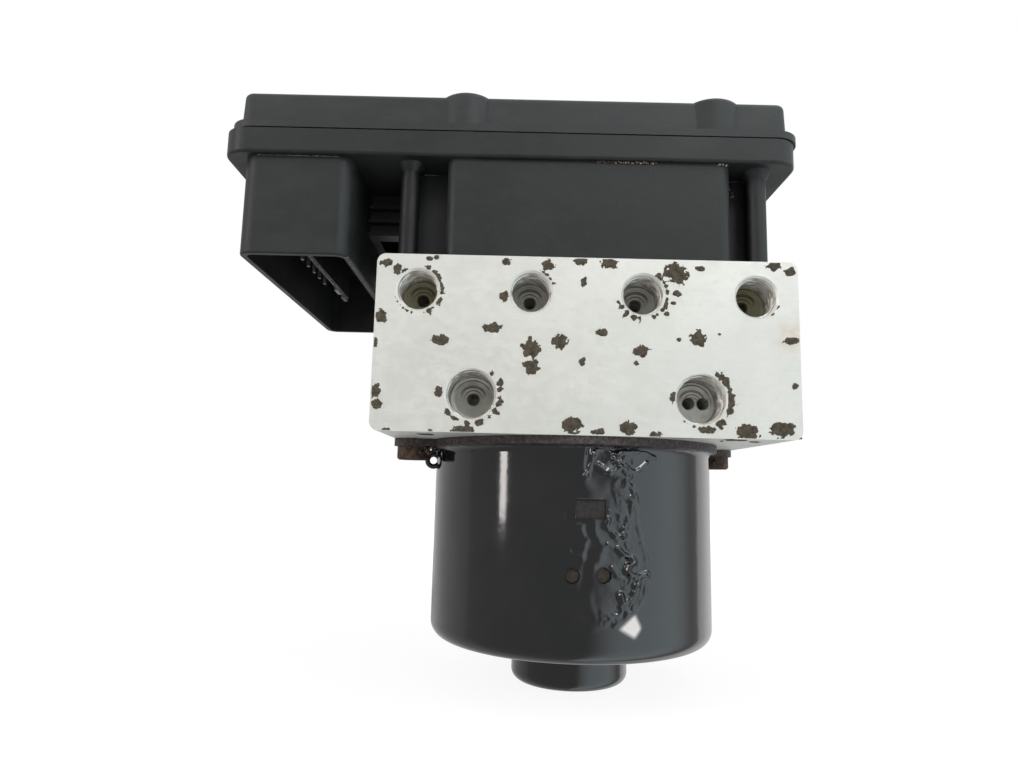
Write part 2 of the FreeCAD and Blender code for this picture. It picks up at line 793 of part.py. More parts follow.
def make_armature_windings(core):
    """The copper in the slots and in the two end turns, as one wound and varnished body."""
    low = core_bottom - winding_overhang
    high = core_top + winding_overhang
    s = winding_shoulder
    blank = turned([(shaft_radius, core_bottom - 1), (winding_inner_radius, low), (winding_outer_radius - s, low),
                    (winding_outer_radius, low + s), (winding_outer_radius, high - s),
                    (winding_outer_radius - s, high), (winding_inner_radius, high),
                    (shaft_radius, core_top + 1)], 0, motor_y)
    return blank.cut([core, rod(winding_inner_radius, low - 1, high + 1, 0, motor_y)])


def make_commutator():
    """The copper commutator, with a groove between each pair of bars."""
    low = core_top + winding_overhang
    body = sleeve(shaft_radius + commutator_bore_gap, commutator_radius, low, commutator_top)
    groove = box((commutator_radius - commutator_groove_depth, commutator_radius + 1),
                 (-commutator_groove / 2, commutator_groove / 2), (low - 1, commutator_top + 1))
    grooves = []
    for index in range(slot_count):
        cut = groove.copy()
        cut.rotate(V(0, 0, 0), V(0, 0, 1), 360 * index / slot_count)
        grooves.append(cut)
    body = body.cut(grooves)
    body.translate(V(0, motor_y, 0))
    return body


def brush_span():
    """Lowest and highest point of a brush."""
    high = bottom - brush_plate_thickness - brush_plate_gap
    return (high - brush_height, high)


def make_brush(side):
    """A carbon brush against the commutator."""
    low, high = brush_span()
    start = commutator_radius + brush_gap
    brush = box((side * start, side * (start + brush_length)), (-brush_width / 2, brush_width / 2), (low, high))
    brush.translate(V(0, motor_y, 0))
    return brush


def make_brush_springs():
    """The bowed leaf springs that press the brushes inwards."""
    low, high = brush_span()
    back = commutator_radius + brush_gap + holder_length
    face = commutator_radius + brush_gap + brush_length
    half = brush_width / 2
    bow = Part.Arc(V(back, -half, low), V(face + leaf_thickness, 0, low), V(back, half, low)).toShape()
    inner = Part.Arc(V(back, half - leaf_thickness, low), V(face + 2 * leaf_thickness, 0, low),
                     V(back, leaf_thickness - half, low)).toShape()
    ends = [Part.makeLine(V(back, half, low), V(back, half - leaf_thickness, low)),
            Part.makeLine(V(back, leaf_thickness - half, low), V(back, -half, low))]
    leaf = Part.Face(Part.Wire([bow, ends[0], inner, ends[1]])).extrude(V(0, 0, high - low))
    leaves = []
    for angle in (0, 180):
        piece = leaf.copy()
        piece.rotate(V(0, 0, 0), V(0, 0, 1), angle)
        piece.translate(V(0, motor_y, 0))
        leaves.append(piece)
    return Part.makeCompound(leaves)


def make_brush_plate():
    """The moulded plate at the can's mouth, with a holder for each brush."""
    low, high = brush_span()
    disc = sleeve(brush_plate_bore, can_inner - brush_plate_clearance, bottom - brush_plate_thickness, bottom)
    solids = [disc]
    hollows = []
    start = commutator_radius + holder_gap
    stop = commutator_radius + brush_gap + holder_length
    half = brush_width / 2 + brush_clearance
    for side in (-1, 1):
        solids.append(box((side * (start + 1), side * (stop + holder_wall)),
                          (-half - holder_wall, half + holder_wall), (low - brush_clearance - holder_wall, bottom)))
        hollows.append(box((side * start, side * stop), (-half, half), (low - brush_clearance, high + brush_clearance)))
    plate_solid = joined(solids).cut(hollows + [rod(brush_plate_bore, low - 2 * holder_wall, bottom + 1)])
    plate_solid.translate(V(0, motor_y, 0))
    return plate_solid


def terminal_blade(offset):
    """One of the two flat leads from the brush plate to the control unit."""
    y = motor_y + post_setback + offset
    return box((-terminal_width / 2, terminal_width / 2), (y - terminal_thickness / 2, y + terminal_thickness / 2),
               (bottom, board_underside))


def make_motor_terminals():
    """The pair of flat leads."""
    return Part.makeCompound([terminal_blade(side * terminal_pitch / 2) for side in (-1, 1)])


def make_terminal_post(terminals):
    """The insulating post that carries the leads through the block."""
    return rod(post_radius, bottom, top, 0, motor_y + post_setback).cut(terminals)


def skirt_solid(z, inset):
    """The housing's wall line on the block: a wide part, and the coil box that stands forward of it."""
    wide = plate(grown((skirt_left, skirt_right), -inset), grown((skirt_front, skirt_back), -inset), z,
                 max(skirt_corner - inset, smallest_corner))
    middle = (skirt_front + skirt_back) / 2
    forward = plate(grown((coil_box_left, coil_box_right), -inset), (coil_box_front + inset, middle), z,
                    max(coil_box_corner - inset, smallest_corner))
    return joined([wide, forward])


def housing_post(position, radius, web_to):
    """A round post at the front of the housing, blended into the flange above and webbed to the wall."""
    x, y = position
    post = turned([(0, gasket_top), (radius, gasket_top), (radius, flange_underside - post_blend_height),
                   (post_blend_radius, flange_underside), (0, flange_underside)], x, y)
    web = box((x - post_web / 2, x + post_web / 2), (y, web_to), (gasket_top, flange_underside))
    return [post, web]


def connector_pin_solids():
    """The contact blades that stand down into the connector shroud."""
    pins = []
    tip = shroud_floor - pin_length
    for x in pin_rows:
        for index in range(pin_count):
            y = pin_first + index * pin_pitch
            pins.append(box((x - pin_thickness / 2, x + pin_thickness / 2), (y - pin_width / 2, y + pin_width / 2),
                            (tip, flange_underside)))
    for x in power_pin_rows:
        for index in range(power_pin_count):
            y = power_pin_first + index * power_pin_pitch
            pins.append(box((x - power_pin_thickness / 2, x + power_pin_thickness / 2),
                            (y - power_pin_width / 2, y + power_pin_width / 2), (tip, flange_underside)))
    return pins


def make_control_housing(pins):
    """The moulded housing: tray and flange above, coil box, posts and connector shroud below."""
    flange_x = (flange_left, flange_right)
    flange_y = (flange_front, flange_back)
    flange = plate(flange_x, flange_y, (flange_underside, seam_height), flange_corner)
    rim = [edge for edge in flange.Edges if abs(edge.CenterOfMass.z - flange_underside) < 0.01]
    flange = flange.makeFillet(flange_edge, rim)
    shroud_x = (shroud_left, shroud_right)
    shroud_y = (shroud_front, shroud_back)
    shroud = plate(shroud_x, shroud_y, (shroud_rim, flange_underside + 1), shroud_corner)
    rim = [edge for edge in shroud.Edges if abs(edge.CenterOfMass.z - shroud_rim) < 0.01]
    shroud = shroud.makeFillet(shroud_edge, rim)
    bridge = box((shroud_right - 1, skirt_left + 1), (bridge_front, bridge_back),
                 (bridge_underside, flange_underside + 1))
    ribs = [box((shroud_right - 1, skirt_left + 1), (bridge_front - bridge_rib_depth, bridge_front),
                (bridge_underside + index * bridge_rib_pitch,
                 bridge_underside + index * bridge_rib_pitch + bridge_rib_thickness))
            for index in range(bridge_rib_count)]
    outer = [flange, skirt_solid((gasket_top, flange_underside + 1), 0), shroud, bridge] + ribs
    outer += housing_post(left_post_position, left_post_radius, skirt_front + 1)
    outer += housing_post(right_post_position, right_post_radius, skirt_front + 3)
    body = joined(outer)
    tray = plate(grown(flange_x, -tray_wall), grown(flange_y, -tray_wall),
                 (flange_underside + floor_thickness, seam_height + 1), flange_corner - tray_wall)
    chamber = skirt_solid((gasket_top - 1, chamber_roof), skirt_wall)
    socket = plate(grown(shroud_x, -shroud_wall), grown(shroud_y, -shroud_wall), (shroud_rim - 1, shroud_floor),
                   shroud_corner - shroud_wall)
    bridge_hollow = box((shroud_right + bridge_wall, skirt_left - bridge_wall),
                        (bridge_front + bridge_wall, bridge_back - bridge_wall),
                        (bridge_underside - 1, flange_underside - bridge_wall))
    body = body.cut([tray, chamber, socket, bridge_hollow])
    key_rib = box((key_rib_position - key_rib_thickness / 2, key_rib_position + key_rib_thickness / 2),
                  (shroud_front + 1, key_rib_end), (shroud_rim + key_rib_recess, shroud_floor + 1))
    bosses = [rod(housing_boss_radius, gasket_top, seam_height, x, y) for x, y in column_sites]
    rests = []
    for x in (flange_left + tray_wall, flange_right - tray_wall - board_rest_size):
        for y in (flange_front + tray_wall, flange_back - tray_wall - board_rest_size):
            rests.append(box((x, x + board_rest_size), (y, y + board_rest_size), (flange_underside + 1, board_underside)))
    body = joined([body, key_rib] + bosses + rests)
    holes = [rod(housing_screw_radius + housing_screw_clearance, gasket_top - 1, seam_height + 1, x, y)
             for x, y in column_sites]
    slots = [box(grown((blade.BoundBox.XMin, blade.BoundBox.XMax), post_clearance),
                 grown((blade.BoundBox.YMin, blade.BoundBox.YMax), post_clearance),
                 (chamber_roof - 1, flange_underside + floor_thickness + 1))
             for blade in make_motor_terminals().Solids]
    return body.cut(pins + holes + slots)


def make_housing_gasket():
    """The flat rubber seal between the housing's wall and the block."""
    inset = (skirt_wall - gasket_width) / 2
    ring = skirt_solid((top, gasket_top), inset).cut(skirt_solid((top - 1, gasket_top + 1), inset + gasket_width))
    pads = [sleeve(housing_screw_radius + housing_screw_clearance, housing_boss_radius, top, gasket_top, x, y)
            for x, y in column_sites]
    shafts = [rod(housing_screw_radius + housing_screw_clearance, top - 1, gasket_top + 1, x, y)
              for x, y in column_sites]
    return joined([ring] + pads).cut(shafts)


def make_circuit_board():
    """The board in the tray, with its main chips, cut away round the screw columns."""
    low = board_underside
    high = low + board_thickness
    margin = tray_wall + board_margin
    board = plate(grown((flange_left, flange_right), -margin), grown((flange_front, flange_back), -margin),
                  (low, high), board_corner)
    for x, y, width, length, height in chips:
        chip = box((x - width / 2, x + width / 2), (y - length / 2, y + length / 2),
                   (high - chip_sink, high + height))
        board = joined([board, chip])
    clear = [rod(housing_boss_radius + board_column_clearance, low - 1, high + 1, x, y)
             for x, y in column_sites]
    return board.cut(clear)


def make_solenoid_coils():
    """The eight coils that slip over the valve domes."""
    low = top + coil_lift
    high = chamber_roof - coil_roof_gap
    coils = [sleeve(dome_radius + coil_dome_gap, coil_radius, low, high, x, y) for x, y in valve_sites]
    return Part.makeCompound(coils)


def make_housing_lid():
    """The lid: a flange on the seam, a drafted box above it and four screw columns."""
    seam_top = seam_height + lid_seam_height
    seam_inset = lid_flange_inset + lid_seam_depth
    flange_x = (flange_left + lid_flange_offset, flange_right + lid_flange_offset)
    flange = [plate(grown(flange_x, -inset), grown((flange_front, flange_back), -inset), z,
                    lid_flange_corner - inset)
              for inset, z in ((seam_inset, (seam_height, seam_top)), (lid_flange_inset, (seam_top, lid_flange_top)))]
    box_x = (flange_left + lid_inset_left, flange_right - lid_inset_right)
    box_y = (flange_front + lid_inset_front, flange_back - lid_inset_back)
    foot = outline(box_x, box_y, lid_corner, seam_height)
    crown = outline(grown(box_x, -lid_draft), grown(box_y, -lid_draft), lid_corner - lid_draft, lid_top)
    body = Part.makeLoft([foot, crown], True, True)
    rim = [edge for edge in body.Edges if abs(edge.BoundBox.ZMin - lid_top) < 0.01]
    body = body.makeFillet(lid_edge_radius, rim)
    columns = [rounded(rod(column_radius, seam_height, column_top, x, y), column_edge, column_radius, column_top)
               for x, y in column_sites]
    cavity = plate(grown(box_x, -lid_wall), grown(box_y, -lid_wall), (seam_height - 1, lid_top - lid_wall),
                   lid_corner - lid_wall)
    cavity = cavity.cut([rod(column_core_radius, seam_height - 2, lid_top, x, y) for x, y in column_sites])
    lid = joined(flange + [body] + columns).cut(cavity)
    wells = [rod(column_well_radius, well_floor, column_top + 1, x, y) for x, y in column_sites]
    holes = [rod(housing_screw_radius + housing_screw_clearance, seam_height - 1, lid_top, x, y)
             for x, y in column_sites]
    return lid.cut(wells + holes)


def make_housing_screws():
    """The four long screws through lid and housing into the block."""
    seat = well_floor
    head_top = seat + housing_screw_head_height
    tip = top - housing_screw_depth + screw_tip_gap
    screws = []
    for x, y in column_sites:
        screw = turned([(0, tip), (housing_screw_radius, tip), (housing_screw_radius, seat),
                        (housing_screw_head_radius, seat),
                        (housing_screw_head_radius, head_top - housing_screw_edge),
                        (housing_screw_head_radius - housing_screw_edge, head_top), (0, head_top)], x, y)
        screws.append(screw.cut(hexagon(housing_socket_radius, x, y, (head_top - housing_socket_depth, head_top))))
    return Part.makeCompound(screws)


write("valve_block", make_valve_block())
write("sealing_balls", make_sealing_balls())

for number, (x, y) in enumerate(valve_sites):
    kind = "inlet" if y == inlet_row else "outlet"
    name = kind + "_valve_" + str(number % 4 + 1)
    write(name, make_valve_housing(x, y))
    write(name + "_plunger", make_valve_plunger(x, y))

for side_name, side in (("left", -1), ("right", 1)):
    write("pump_plug_" + side_name, make_pump_plug(side))
    write("pump_piston_" + side_name, make_pump_piston(side))
    write("pump_spring_" + side_name, make_pump_spring(side))
    write("accumulator_piston_" + side_name, make_accumulator_piston(side))
    write("accumulator_spring_" + side_name, make_accumulator_spring(side))
    write("accumulator_cap_" + side_name, make_accumulator_cap(side))
    write("brush_" + side_name, make_brush(side))

write("motor_can", make_motor_can())
write("motor_screws", make_motor_screws())
write("motor_seal", make_motor_seal())
write("magnet_near", make_magnet(-1))
write("magnet_far", make_magnet(1))

rear_outer, rear_inner, ball_pitch, rear_middle = bearing_rings(rear_bearing_bottom)
front_outer, front_inner, ball_pitch, front_middle = bearing_rings(bottom)
write("rear_bearing_outer_ring", rear_outer)
write("rear_bearing_inner_ring", rear_inner)
write("front_bearing_outer_ring", front_outer)
write("front_bearing_inner_ring", front_inner)
write("bearing_balls", Part.makeCompound(bearing_balls(ball_pitch, rear_middle) + bearing_balls(ball_pitch, front_middle)))

armature_core = make_armature_core()
write("motor_shaft", make_motor_shaft())
write("eccentric_ring", make_eccentric_ring())
write("eccentric_needles", make_eccentric_needles())
write("armature_core", armature_core)
write("armature_windings", make_armature_windings(armature_core))
write("commutator", make_commutator())
write("brush_plate", make_brush_plate())
write("brush_springs", make_brush_springs())

motor_terminals = make_motor_terminals()
write("motor_terminals", motor_terminals)
write("motor_terminal_post", make_terminal_post(motor_terminals))

connector_pins = connector_pin_solids()
write("connector_pins", Part.makeCompound(connector_pins))
write("control_housing", make_control_housing(connector_pins))
write("housing_gasket", make_housing_gasket())
write("circuit_board", make_circuit_board())
write("solenoid_coils", make_solenoid_coils())
write("housing_lid", make_housing_lid())
write("housing_screws", make_housing_screws())
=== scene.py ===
import math
import random

import bmesh
import bpy
from mathutils import Matrix, Vector, noise


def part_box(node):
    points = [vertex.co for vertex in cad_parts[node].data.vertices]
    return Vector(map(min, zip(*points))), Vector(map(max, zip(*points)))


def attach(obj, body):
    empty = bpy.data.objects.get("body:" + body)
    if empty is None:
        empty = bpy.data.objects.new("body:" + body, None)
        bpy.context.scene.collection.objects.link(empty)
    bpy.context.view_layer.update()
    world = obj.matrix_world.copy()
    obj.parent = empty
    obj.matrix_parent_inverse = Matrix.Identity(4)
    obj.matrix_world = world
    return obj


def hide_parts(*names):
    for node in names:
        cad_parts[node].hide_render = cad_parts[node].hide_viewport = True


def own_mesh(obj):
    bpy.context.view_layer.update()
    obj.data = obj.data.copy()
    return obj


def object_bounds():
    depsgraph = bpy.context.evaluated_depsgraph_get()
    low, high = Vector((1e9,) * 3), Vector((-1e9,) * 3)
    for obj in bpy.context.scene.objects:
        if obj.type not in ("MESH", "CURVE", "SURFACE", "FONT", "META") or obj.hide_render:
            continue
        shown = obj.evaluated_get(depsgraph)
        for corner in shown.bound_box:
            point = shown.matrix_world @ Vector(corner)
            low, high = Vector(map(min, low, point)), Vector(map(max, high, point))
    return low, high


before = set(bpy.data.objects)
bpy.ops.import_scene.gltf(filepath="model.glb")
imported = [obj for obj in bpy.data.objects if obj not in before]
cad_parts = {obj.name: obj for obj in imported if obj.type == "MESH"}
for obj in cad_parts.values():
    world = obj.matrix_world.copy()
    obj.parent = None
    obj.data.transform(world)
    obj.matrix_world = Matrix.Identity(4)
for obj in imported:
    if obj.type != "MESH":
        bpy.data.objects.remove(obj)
cad_box = [list(corner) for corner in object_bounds()]


# Studio. The camera stands in front of the pipe ports, a little below the block, and looks up at it. The room
# is plain and white: softboxes in front, a tall window at the left, daylight at the right, a pale ceiling.
mm = 0.001
scene = bpy.context.scene
scene.view_settings.view_transform = "Standard"

camera_place = Vector((-17.92, -258.71, -34.24)) * mm
camera_yaw = 0.003
camera_pitch = 0.143
camera_roll = 0.024
focal_pixels = 714.2
frame_pixels = 1020
sensor_width = 36.0
quarter = math.radians(90)
camera = bpy.data.objects.new("camera", bpy.data.cameras.new("camera"))
scene.collection.objects.link(camera)
scene.camera = camera
camera.data.sensor_width = sensor_width
camera.data.lens = sensor_width * focal_pixels / frame_pixels
camera.data.clip_start = 10 * mm
aim = (Matrix.Rotation(camera_yaw, 3, "Z") @ Matrix.Rotation(camera_pitch, 3, "X")
       @ Matrix.Rotation(-camera_roll, 3, "Y") @ Matrix.Rotation(quarter, 3, "X"))
camera.matrix_world = Matrix.Translation(camera_place) @ aim.to_4x4()


class Wire:
    """One output of a shader node, with the sums that the finishes need."""

    def __init__(self, finish, socket):
        self.finish = finish
        self.socket = socket

    def maths(self, operation, first, second):
        return self.finish.node("ShaderNodeMath", {"operation": operation}, {0: first, 1: second})

    def __add__(self, other):
        return self.maths("ADD", self, other)

    def __sub__(self, other):
        return self.maths("SUBTRACT", self, other)

    def __mul__(self, other):
        return self.maths("MULTIPLY", self, other)

    def __rsub__(self, other):
        return self.maths("SUBTRACT", other, self)

    def __abs__(self):
        return self.maths("ABSOLUTE", self, 0.0)

    def top(self, other):
        return self.maths("MAXIMUM", self, other)

    def low(self, other):
        return self.maths("MINIMUM", self, other)

    __radd__ = __add__
    __rmul__ = __mul__


class Finish:
    """A surface finish: a node tree, to which node() adds one node at a time."""

    def __init__(self, tree):
        self.tree = tree
        self.tree.nodes.clear()

    def node(self, kind, settings, sockets, output=0):
        made = self.tree.nodes.new(kind)
        for name, value in settings.items():
            setattr(made, name, value)
        for name, value in sockets.items():
            if isinstance(value, Wire):
                self.tree.links.new(value.socket, made.inputs[name])
            else:
                made.inputs[name].default_value = value
        return Wire(self, made.outputs[output]) if made.outputs else None


def ramp(value, start, stop, low=0.0, high=1.0):
    """A smooth step from one value to another between two values of a mask."""
    limits = {"Value": value, "From Min": start, "From Max": stop, "To Min": low, "To Max": high}
    return value.finish.node("ShaderNodeMapRange", {"interpolation_type": "SMOOTHSTEP"}, limits)


# Room. White to the camera. Gloss paint mirrors its walls all round: dim in front, pale behind and at both
# sides, brightest at the right end of the pale wall, with bluish daylight from the right and light overhead.
front_level = 0.60
wall_level = 0.16
curtain_level = 0.62
daylight_level = 1.6
skylight_level = 0.5
matt_level = 0.40
wall_side = (-0.20, 0.98, 0.0)
curtain_side = (0.92, 0.39, 0.0)
daylight_side = (0.84, -0.54, 0.0)
level_only = (1.0, 1.0, 0.0)
white = (1.0, 1.0, 1.0, 1.0)
bluish = (0.84, 0.95, 1.0, 1.0)
world = bpy.data.worlds.new("room")
scene.world = world
world.use_nodes = True
room = Finish(world.node_tree)
upright = room.node("ShaderNodeTexCoord", {}, {}, "Generated")
heading = room.node("ShaderNodeVectorMath", {"operation": "MULTIPLY"}, {0: upright, 1: level_only})
heading = room.node("ShaderNodeVectorMath", {"operation": "NORMALIZE"}, {0: heading})


def towards(direction):
    """1 where the level direction meets the given one, 0 across it."""
    both = {0: heading, 1: direction}
    return room.node("ShaderNodeVectorMath", {"operation": "DOT_PRODUCT"}, both, "Value")


wall = ramp(towards(wall_side), 0.20, 0.30)
curtain = ramp(towards(curtain_side), 0.70, 0.98) * wall
daylight = ramp(towards(daylight_side), 0.64, 0.99)
skylight = ramp(room.node("ShaderNodeSeparateXYZ", {}, {"Vector": upright}, "Z"), 0.40, 0.60)
mirrored = wall * wall_level + front_level + curtain * curtain_level + daylight * daylight_level
mirrored = mirrored + skylight * skylight_level
seen = room.node("ShaderNodeLightPath", {}, {}, "Is Camera Ray")
glossy = room.node("ShaderNodeLightPath", {}, {}, "Is Glossy Ray")
clear = room.node("ShaderNodeLightPath", {}, {}, "Is Transmission Ray")
level = glossy * mirrored + (1.0 - glossy) * matt_level
shown = seen.top(clear)
level = level * (1.0 - shown) + shown
sky = room.node("ShaderNodeMix", {"data_type": "RGBA"}, {0: daylight * glossy, 6: white, 7: bluish}, 2)
background = room.node("ShaderNodeBackground", {}, {"Color": sky, "Strength": level})
room.node("ShaderNodeOutputWorld", {}, {"Surface": background})


def soft_lamp(name, place, target, width, height, power, tint, mirrored=True, lights_up=True):
    """A softbox that looks at a point: whether gloss mirrors it, and whether matt surfaces catch it."""
    light = bpy.data.lights.new(name, "AREA")
    light.shape = "RECTANGLE"
    light.size = width
    light.size_y = height
    light.energy = power
    light.color = tint
    lamp = bpy.data.objects.new(name, light)
    scene.collection.objects.link(lamp)
    lamp.location = place
    lamp.visible_glossy = mirrored
    lamp.visible_diffuse = lights_up
    lamp.rotation_euler = (Vector(target) - Vector(place)).to_track_quat("-Z", "Y").to_euler()


module_centre = (-0.01, -0.045, 0.0)
can_front = (-0.017, -0.076, 0.0)
neutral = (1.0, 1.0, 1.0)
warm = (1.0, 0.96, 0.94)
warm_glint = (1.0, 0.96, 0.95)
cool = (0.88, 0.96, 1.0)
soft_lamp("front_softbox", (0.36, -0.76, 0.94), module_centre, 1.1, 0.8, 2.0, neutral)
soft_lamp("front_fill", (0.14, -0.95, 0.16), module_centre, 0.8, 0.6, 1.35, neutral, mirrored=False)
soft_lamp("window", (-0.50, -0.36, 0.150), can_front, 0.066, 0.46, 1.4, warm)
soft_lamp("daylight", (0.95, -0.24, 0.10), module_centre, 0.6, 0.7, 4.2, cool, mirrored=False)
soft_lamp("glint", (0.24, -0.68, 0.50), module_centre, 0.20, 0.20, 1.5, warm_glint, lights_up=False)
soft_lamp("left_glint", (-0.30, -0.66, 0.42), module_centre, 0.16, 0.16, 0.5, warm_glint, lights_up=False)
soft_lamp("ceiling", (0.1, 0.0, 1.2), module_centre, 1.4, 1.4, 2.2, neutral)

# Floor. Matt grey paper that shows white to the camera and keeps the shadow near the module. Gloss paint
# mirrors the room through it.
floor_half = 3.0
floor_gap = 0.2 * mm
floor_height = cad_box[0][2] - floor_gap
motor_foot = (0.0, -46.0 * mm, floor_height)
paper_grey = (0.60, 0.60, 0.60, 1)
paper_glow = 1.25
shadow_near = 0.12
shadow_far = 0.5
least_glow = 0.72
floor_mesh = bpy.data.meshes.new("floor")
floor_corners = [(-floor_half, -floor_half, floor_height), (floor_half, -floor_half, floor_height),
                 (floor_half, floor_half, floor_height), (-floor_half, floor_half, floor_height)]
floor_mesh.from_pydata(floor_corners, [], [(0, 1, 2, 3)])
floor = bpy.data.objects.new("floor", floor_mesh)
scene.collection.objects.link(floor)
floor_material = bpy.data.materials.new("floor_white")
floor_material.use_nodes = True
sweep = Finish(floor_material.node_tree)
matt = sweep.node("ShaderNodeBsdfDiffuse", {}, {"Color": paper_grey})
bright = sweep.node("ShaderNodeEmission", {}, {"Color": white, "Strength": paper_glow})
to_camera = sweep.node("ShaderNodeLightPath", {}, {}, "Is Camera Ray")
to_gloss = sweep.node("ShaderNodeLightPath", {}, {}, "Is Glossy Ray")
on_floor = sweep.node("ShaderNodeTexCoord", {}, {}, "Object")
from_motor = sweep.node("ShaderNodeVectorMath", {"operation": "DISTANCE"}, {0: on_floor, 1: motor_foot},
                        "Value")
glow = to_camera * ramp(from_motor, shadow_near, shadow_far, least_glow, 1.0)
paper = sweep.node("ShaderNodeMixShader", {}, {0: glow, 1: matt, 2: bright})
see_through = sweep.node("ShaderNodeBsdfTransparent", {}, {})
paper = sweep.node("ShaderNodeMixShader", {}, {0: to_gloss, 1: paper, 2: see_through})
sweep.node("ShaderNodeOutputMaterial", {}, {"Surface": paper})
floor_mesh.materials.append(floor_material)


# Valve block. A length of extruded aluminium bar, milled on its faces and left bare. Years of road salt
# have eaten brown pits into it, mostly along the edges and round the ports.
def tone(red, green, blue):
    """A colour as it looks on a screen, 0 to 255, made linear."""
    shares = [part / 255 for part in (red, green, blue)]
    linear = [((share + 0.055) / 1.055) ** 2.4 if share > 0.04 else share / 12.92 for share in shares]
    return (*linear, 1.0)


def material(name):
    """A named, empty material and its finish."""
    made = bpy.data.materials.new(name)
    made.use_nodes = True
    finish = Finish(made.node_tree)
    finish.material = made
    finish.place = finish.node("ShaderNodeTexCoord", {}, {}, "Object")
    return finish


def cloud(finish, size, detail=4.0, rough=0.6, warp=0.0, seed=0.0):
    """Noise whose patches are about a size in millimetres, one for all axes or one for each."""
    sizes = size if isinstance(size, tuple) else (size, size, size)
    scales = tuple(1 / (length * mm) for length in sizes)
    stretched = finish.node("ShaderNodeVectorMath", {"operation": "MULTIPLY"}, {0: finish.place, 1: scales})
    return finish.node("ShaderNodeTexNoise", {"noise_dimensions": "4D"},
                       {"Vector": stretched, "W": seed, "Scale": 1.0, "Detail": detail, "Roughness": rough,
                        "Distortion": warp})


def blend(mask, first, second):
    """One colour where the mask is 0, the other where it is 1."""
    settings = {"data_type": "RGBA", "clamp_factor": True}
    return mask.finish.node("ShaderNodeMix", settings, {0: mask, 6: first, 7: second}, 2)


def axis(finish, name):
    """One object coordinate, in millimetres."""
    parts = finish.node("ShaderNodeSeparateXYZ", {}, {"Vector": finish.place}, name)
    return parts * (1 / mm)


def distance(finish, x, y, z):
    """The way from a point that is given in millimetres, in metres."""
    both = {0: finish.place, 1: (x * mm, y * mm, z * mm)}
    return finish.node("ShaderNodeVectorMath", {"operation": "DISTANCE"}, both, "Value")


def near(finish, x, y, z, reach):
    """A mask that is 1 at a point and falls to 0 at a distance, in millimetres."""
    return ramp(distance(finish, x, y, z), 0.0, reach * mm, 1.0, 0.0)


def dress(finish, colour, roughness, metallic, relief, depth, **steady):
    """Ends a finish: colour, roughness and metal, and the relief as bumps of a depth in millimetres."""
    bumps = finish.node("ShaderNodeBump", {}, {"Height": relief, "Distance": depth * mm, "Strength": 1.0})
    sockets = {"Base Color": colour, "Roughness": roughness, "Metallic": metallic, "Normal": bumps}
    sockets.update({name.replace("_", " "): value for name, value in steady.items()})
    surface = finish.node("ShaderNodeBsdfPrincipled", {}, sockets)
    finish.node("ShaderNodeOutputMaterial", {}, {"Surface": surface})
    return finish.material


def wear(material_made, *nodes):
    """Puts a material on CAD nodes."""
    for name in nodes:
        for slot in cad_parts[name].material_slots:
            slot.material = material_made


block_front = -88.0
block_end = 52.0
block_top = 22.0
wheel_ports = [(-41.7, 13.0), (-13.8, 13.0), (13.8, 13.0), (41.7, 13.0)]
master_ports = [(-27.8, -12.7), (27.8, -12.7)]
wheel_port_radius = 5.0
master_port_radius = 6.0
fixing_radius = 4.0
port_middle = block_front + 6
port_zone = 9.2
seat_reach = 4.6
seat_slope = 32.0
milled_depth = 0.02

milled = material("milled_aluminium")
milling = cloud(milled, (45.0, 45.0, 0.16), 2.0)
handling = cloud(milled, 14.0, 5.0, 0.65)
dull = ramp(cloud(milled, (3.0, 3.0, 2.0), 6.0, 0.7, seed=3.0), 0.45, 0.62)
specks = ramp(cloud(milled, 0.55, 3.0, 0.6, seed=5.0), 0.70, 0.76)
scratches = ramp(cloud(milled, (9.0, 9.0, 0.10), 3.0, 0.5, 2.5, seed=9.0), 0.69, 0.74)
inside = ramp(axis(milled, "Y"), block_front + 0.15, block_front + 0.9)
across_bores = (1.0, 0.0, 1.0)
on_face = milled.node("ShaderNodeVectorMath", {"operation": "MULTIPLY"}, {0: milled.place, 1: across_bores})
in_ports = None
from_axis = None
for port_x, port_z in wheel_ports + master_ports:
    away = distance(milled, port_x, port_middle, port_z)
    hole = ramp(away, (port_zone - 0.6) * mm, port_zone * mm, 1.0, 0.0)
    in_ports = hole if in_ports is None else in_ports.top(hole)
    centre = (port_x * mm, 0.0, port_z * mm)
    gap = milled.node("ShaderNodeVectorMath", {"operation": "DISTANCE"}, {0: on_face, 1: centre}, "Value")
    from_axis = gap if from_axis is None else from_axis.low(gap)
from_axis = from_axis * (1 / mm)
below_axis = axis(milled, "Z") - ramp(axis(milled, "Z"), -1.0, 1.0, master_ports[0][1], wheel_ports[0][1])
in_front = ramp(axis(milled, "Y"), block_front + 20, block_front + 30, 1.0, 0.0)
seat_cone = (from_axis.low(seat_reach) - seat_reach) * in_front
ring_place = milled.node("ShaderNodeCombineXYZ", {}, {"X": from_axis, "Y": below_axis * 0.06})
turned = milled.node("ShaderNodeTexNoise", {"noise_dimensions": "2D"},
                     {"Vector": ring_place, "Scale": 2.2, "Detail": 3.0, "Roughness": 0.6})
# Brown arcs round the seats are grime; keeping them to the upper half of each bore paints in the shade that
# falls there.
seat_stain_and_shade = ramp(turned, 0.50, 0.62) * ramp(below_axis, -1.5, 2.0) * inside * in_ports
grime = inside * in_ports * ramp(cloud(milled, 4.0, 4.0, 0.6, seed=7.0), 0.42, 0.62)
rust_bleed = near(milled, 50.0, block_front, 3.4, 6.5) * ramp(cloud(milled, 2.2, 4.0, seed=11.0), 0.30, 0.62)
bare = blend(ramp(handling, 0.35, 0.65), tone(217, 217, 211), tone(210, 211, 204))
bare = blend(dull * 0.16, bare, tone(188, 190, 184))
bare = blend(ramp(milling, 0.46, 0.66) * 0.22, bare, tone(196, 198, 193))
bare = blend(specks * 0.6, bare, tone(122, 118, 108))
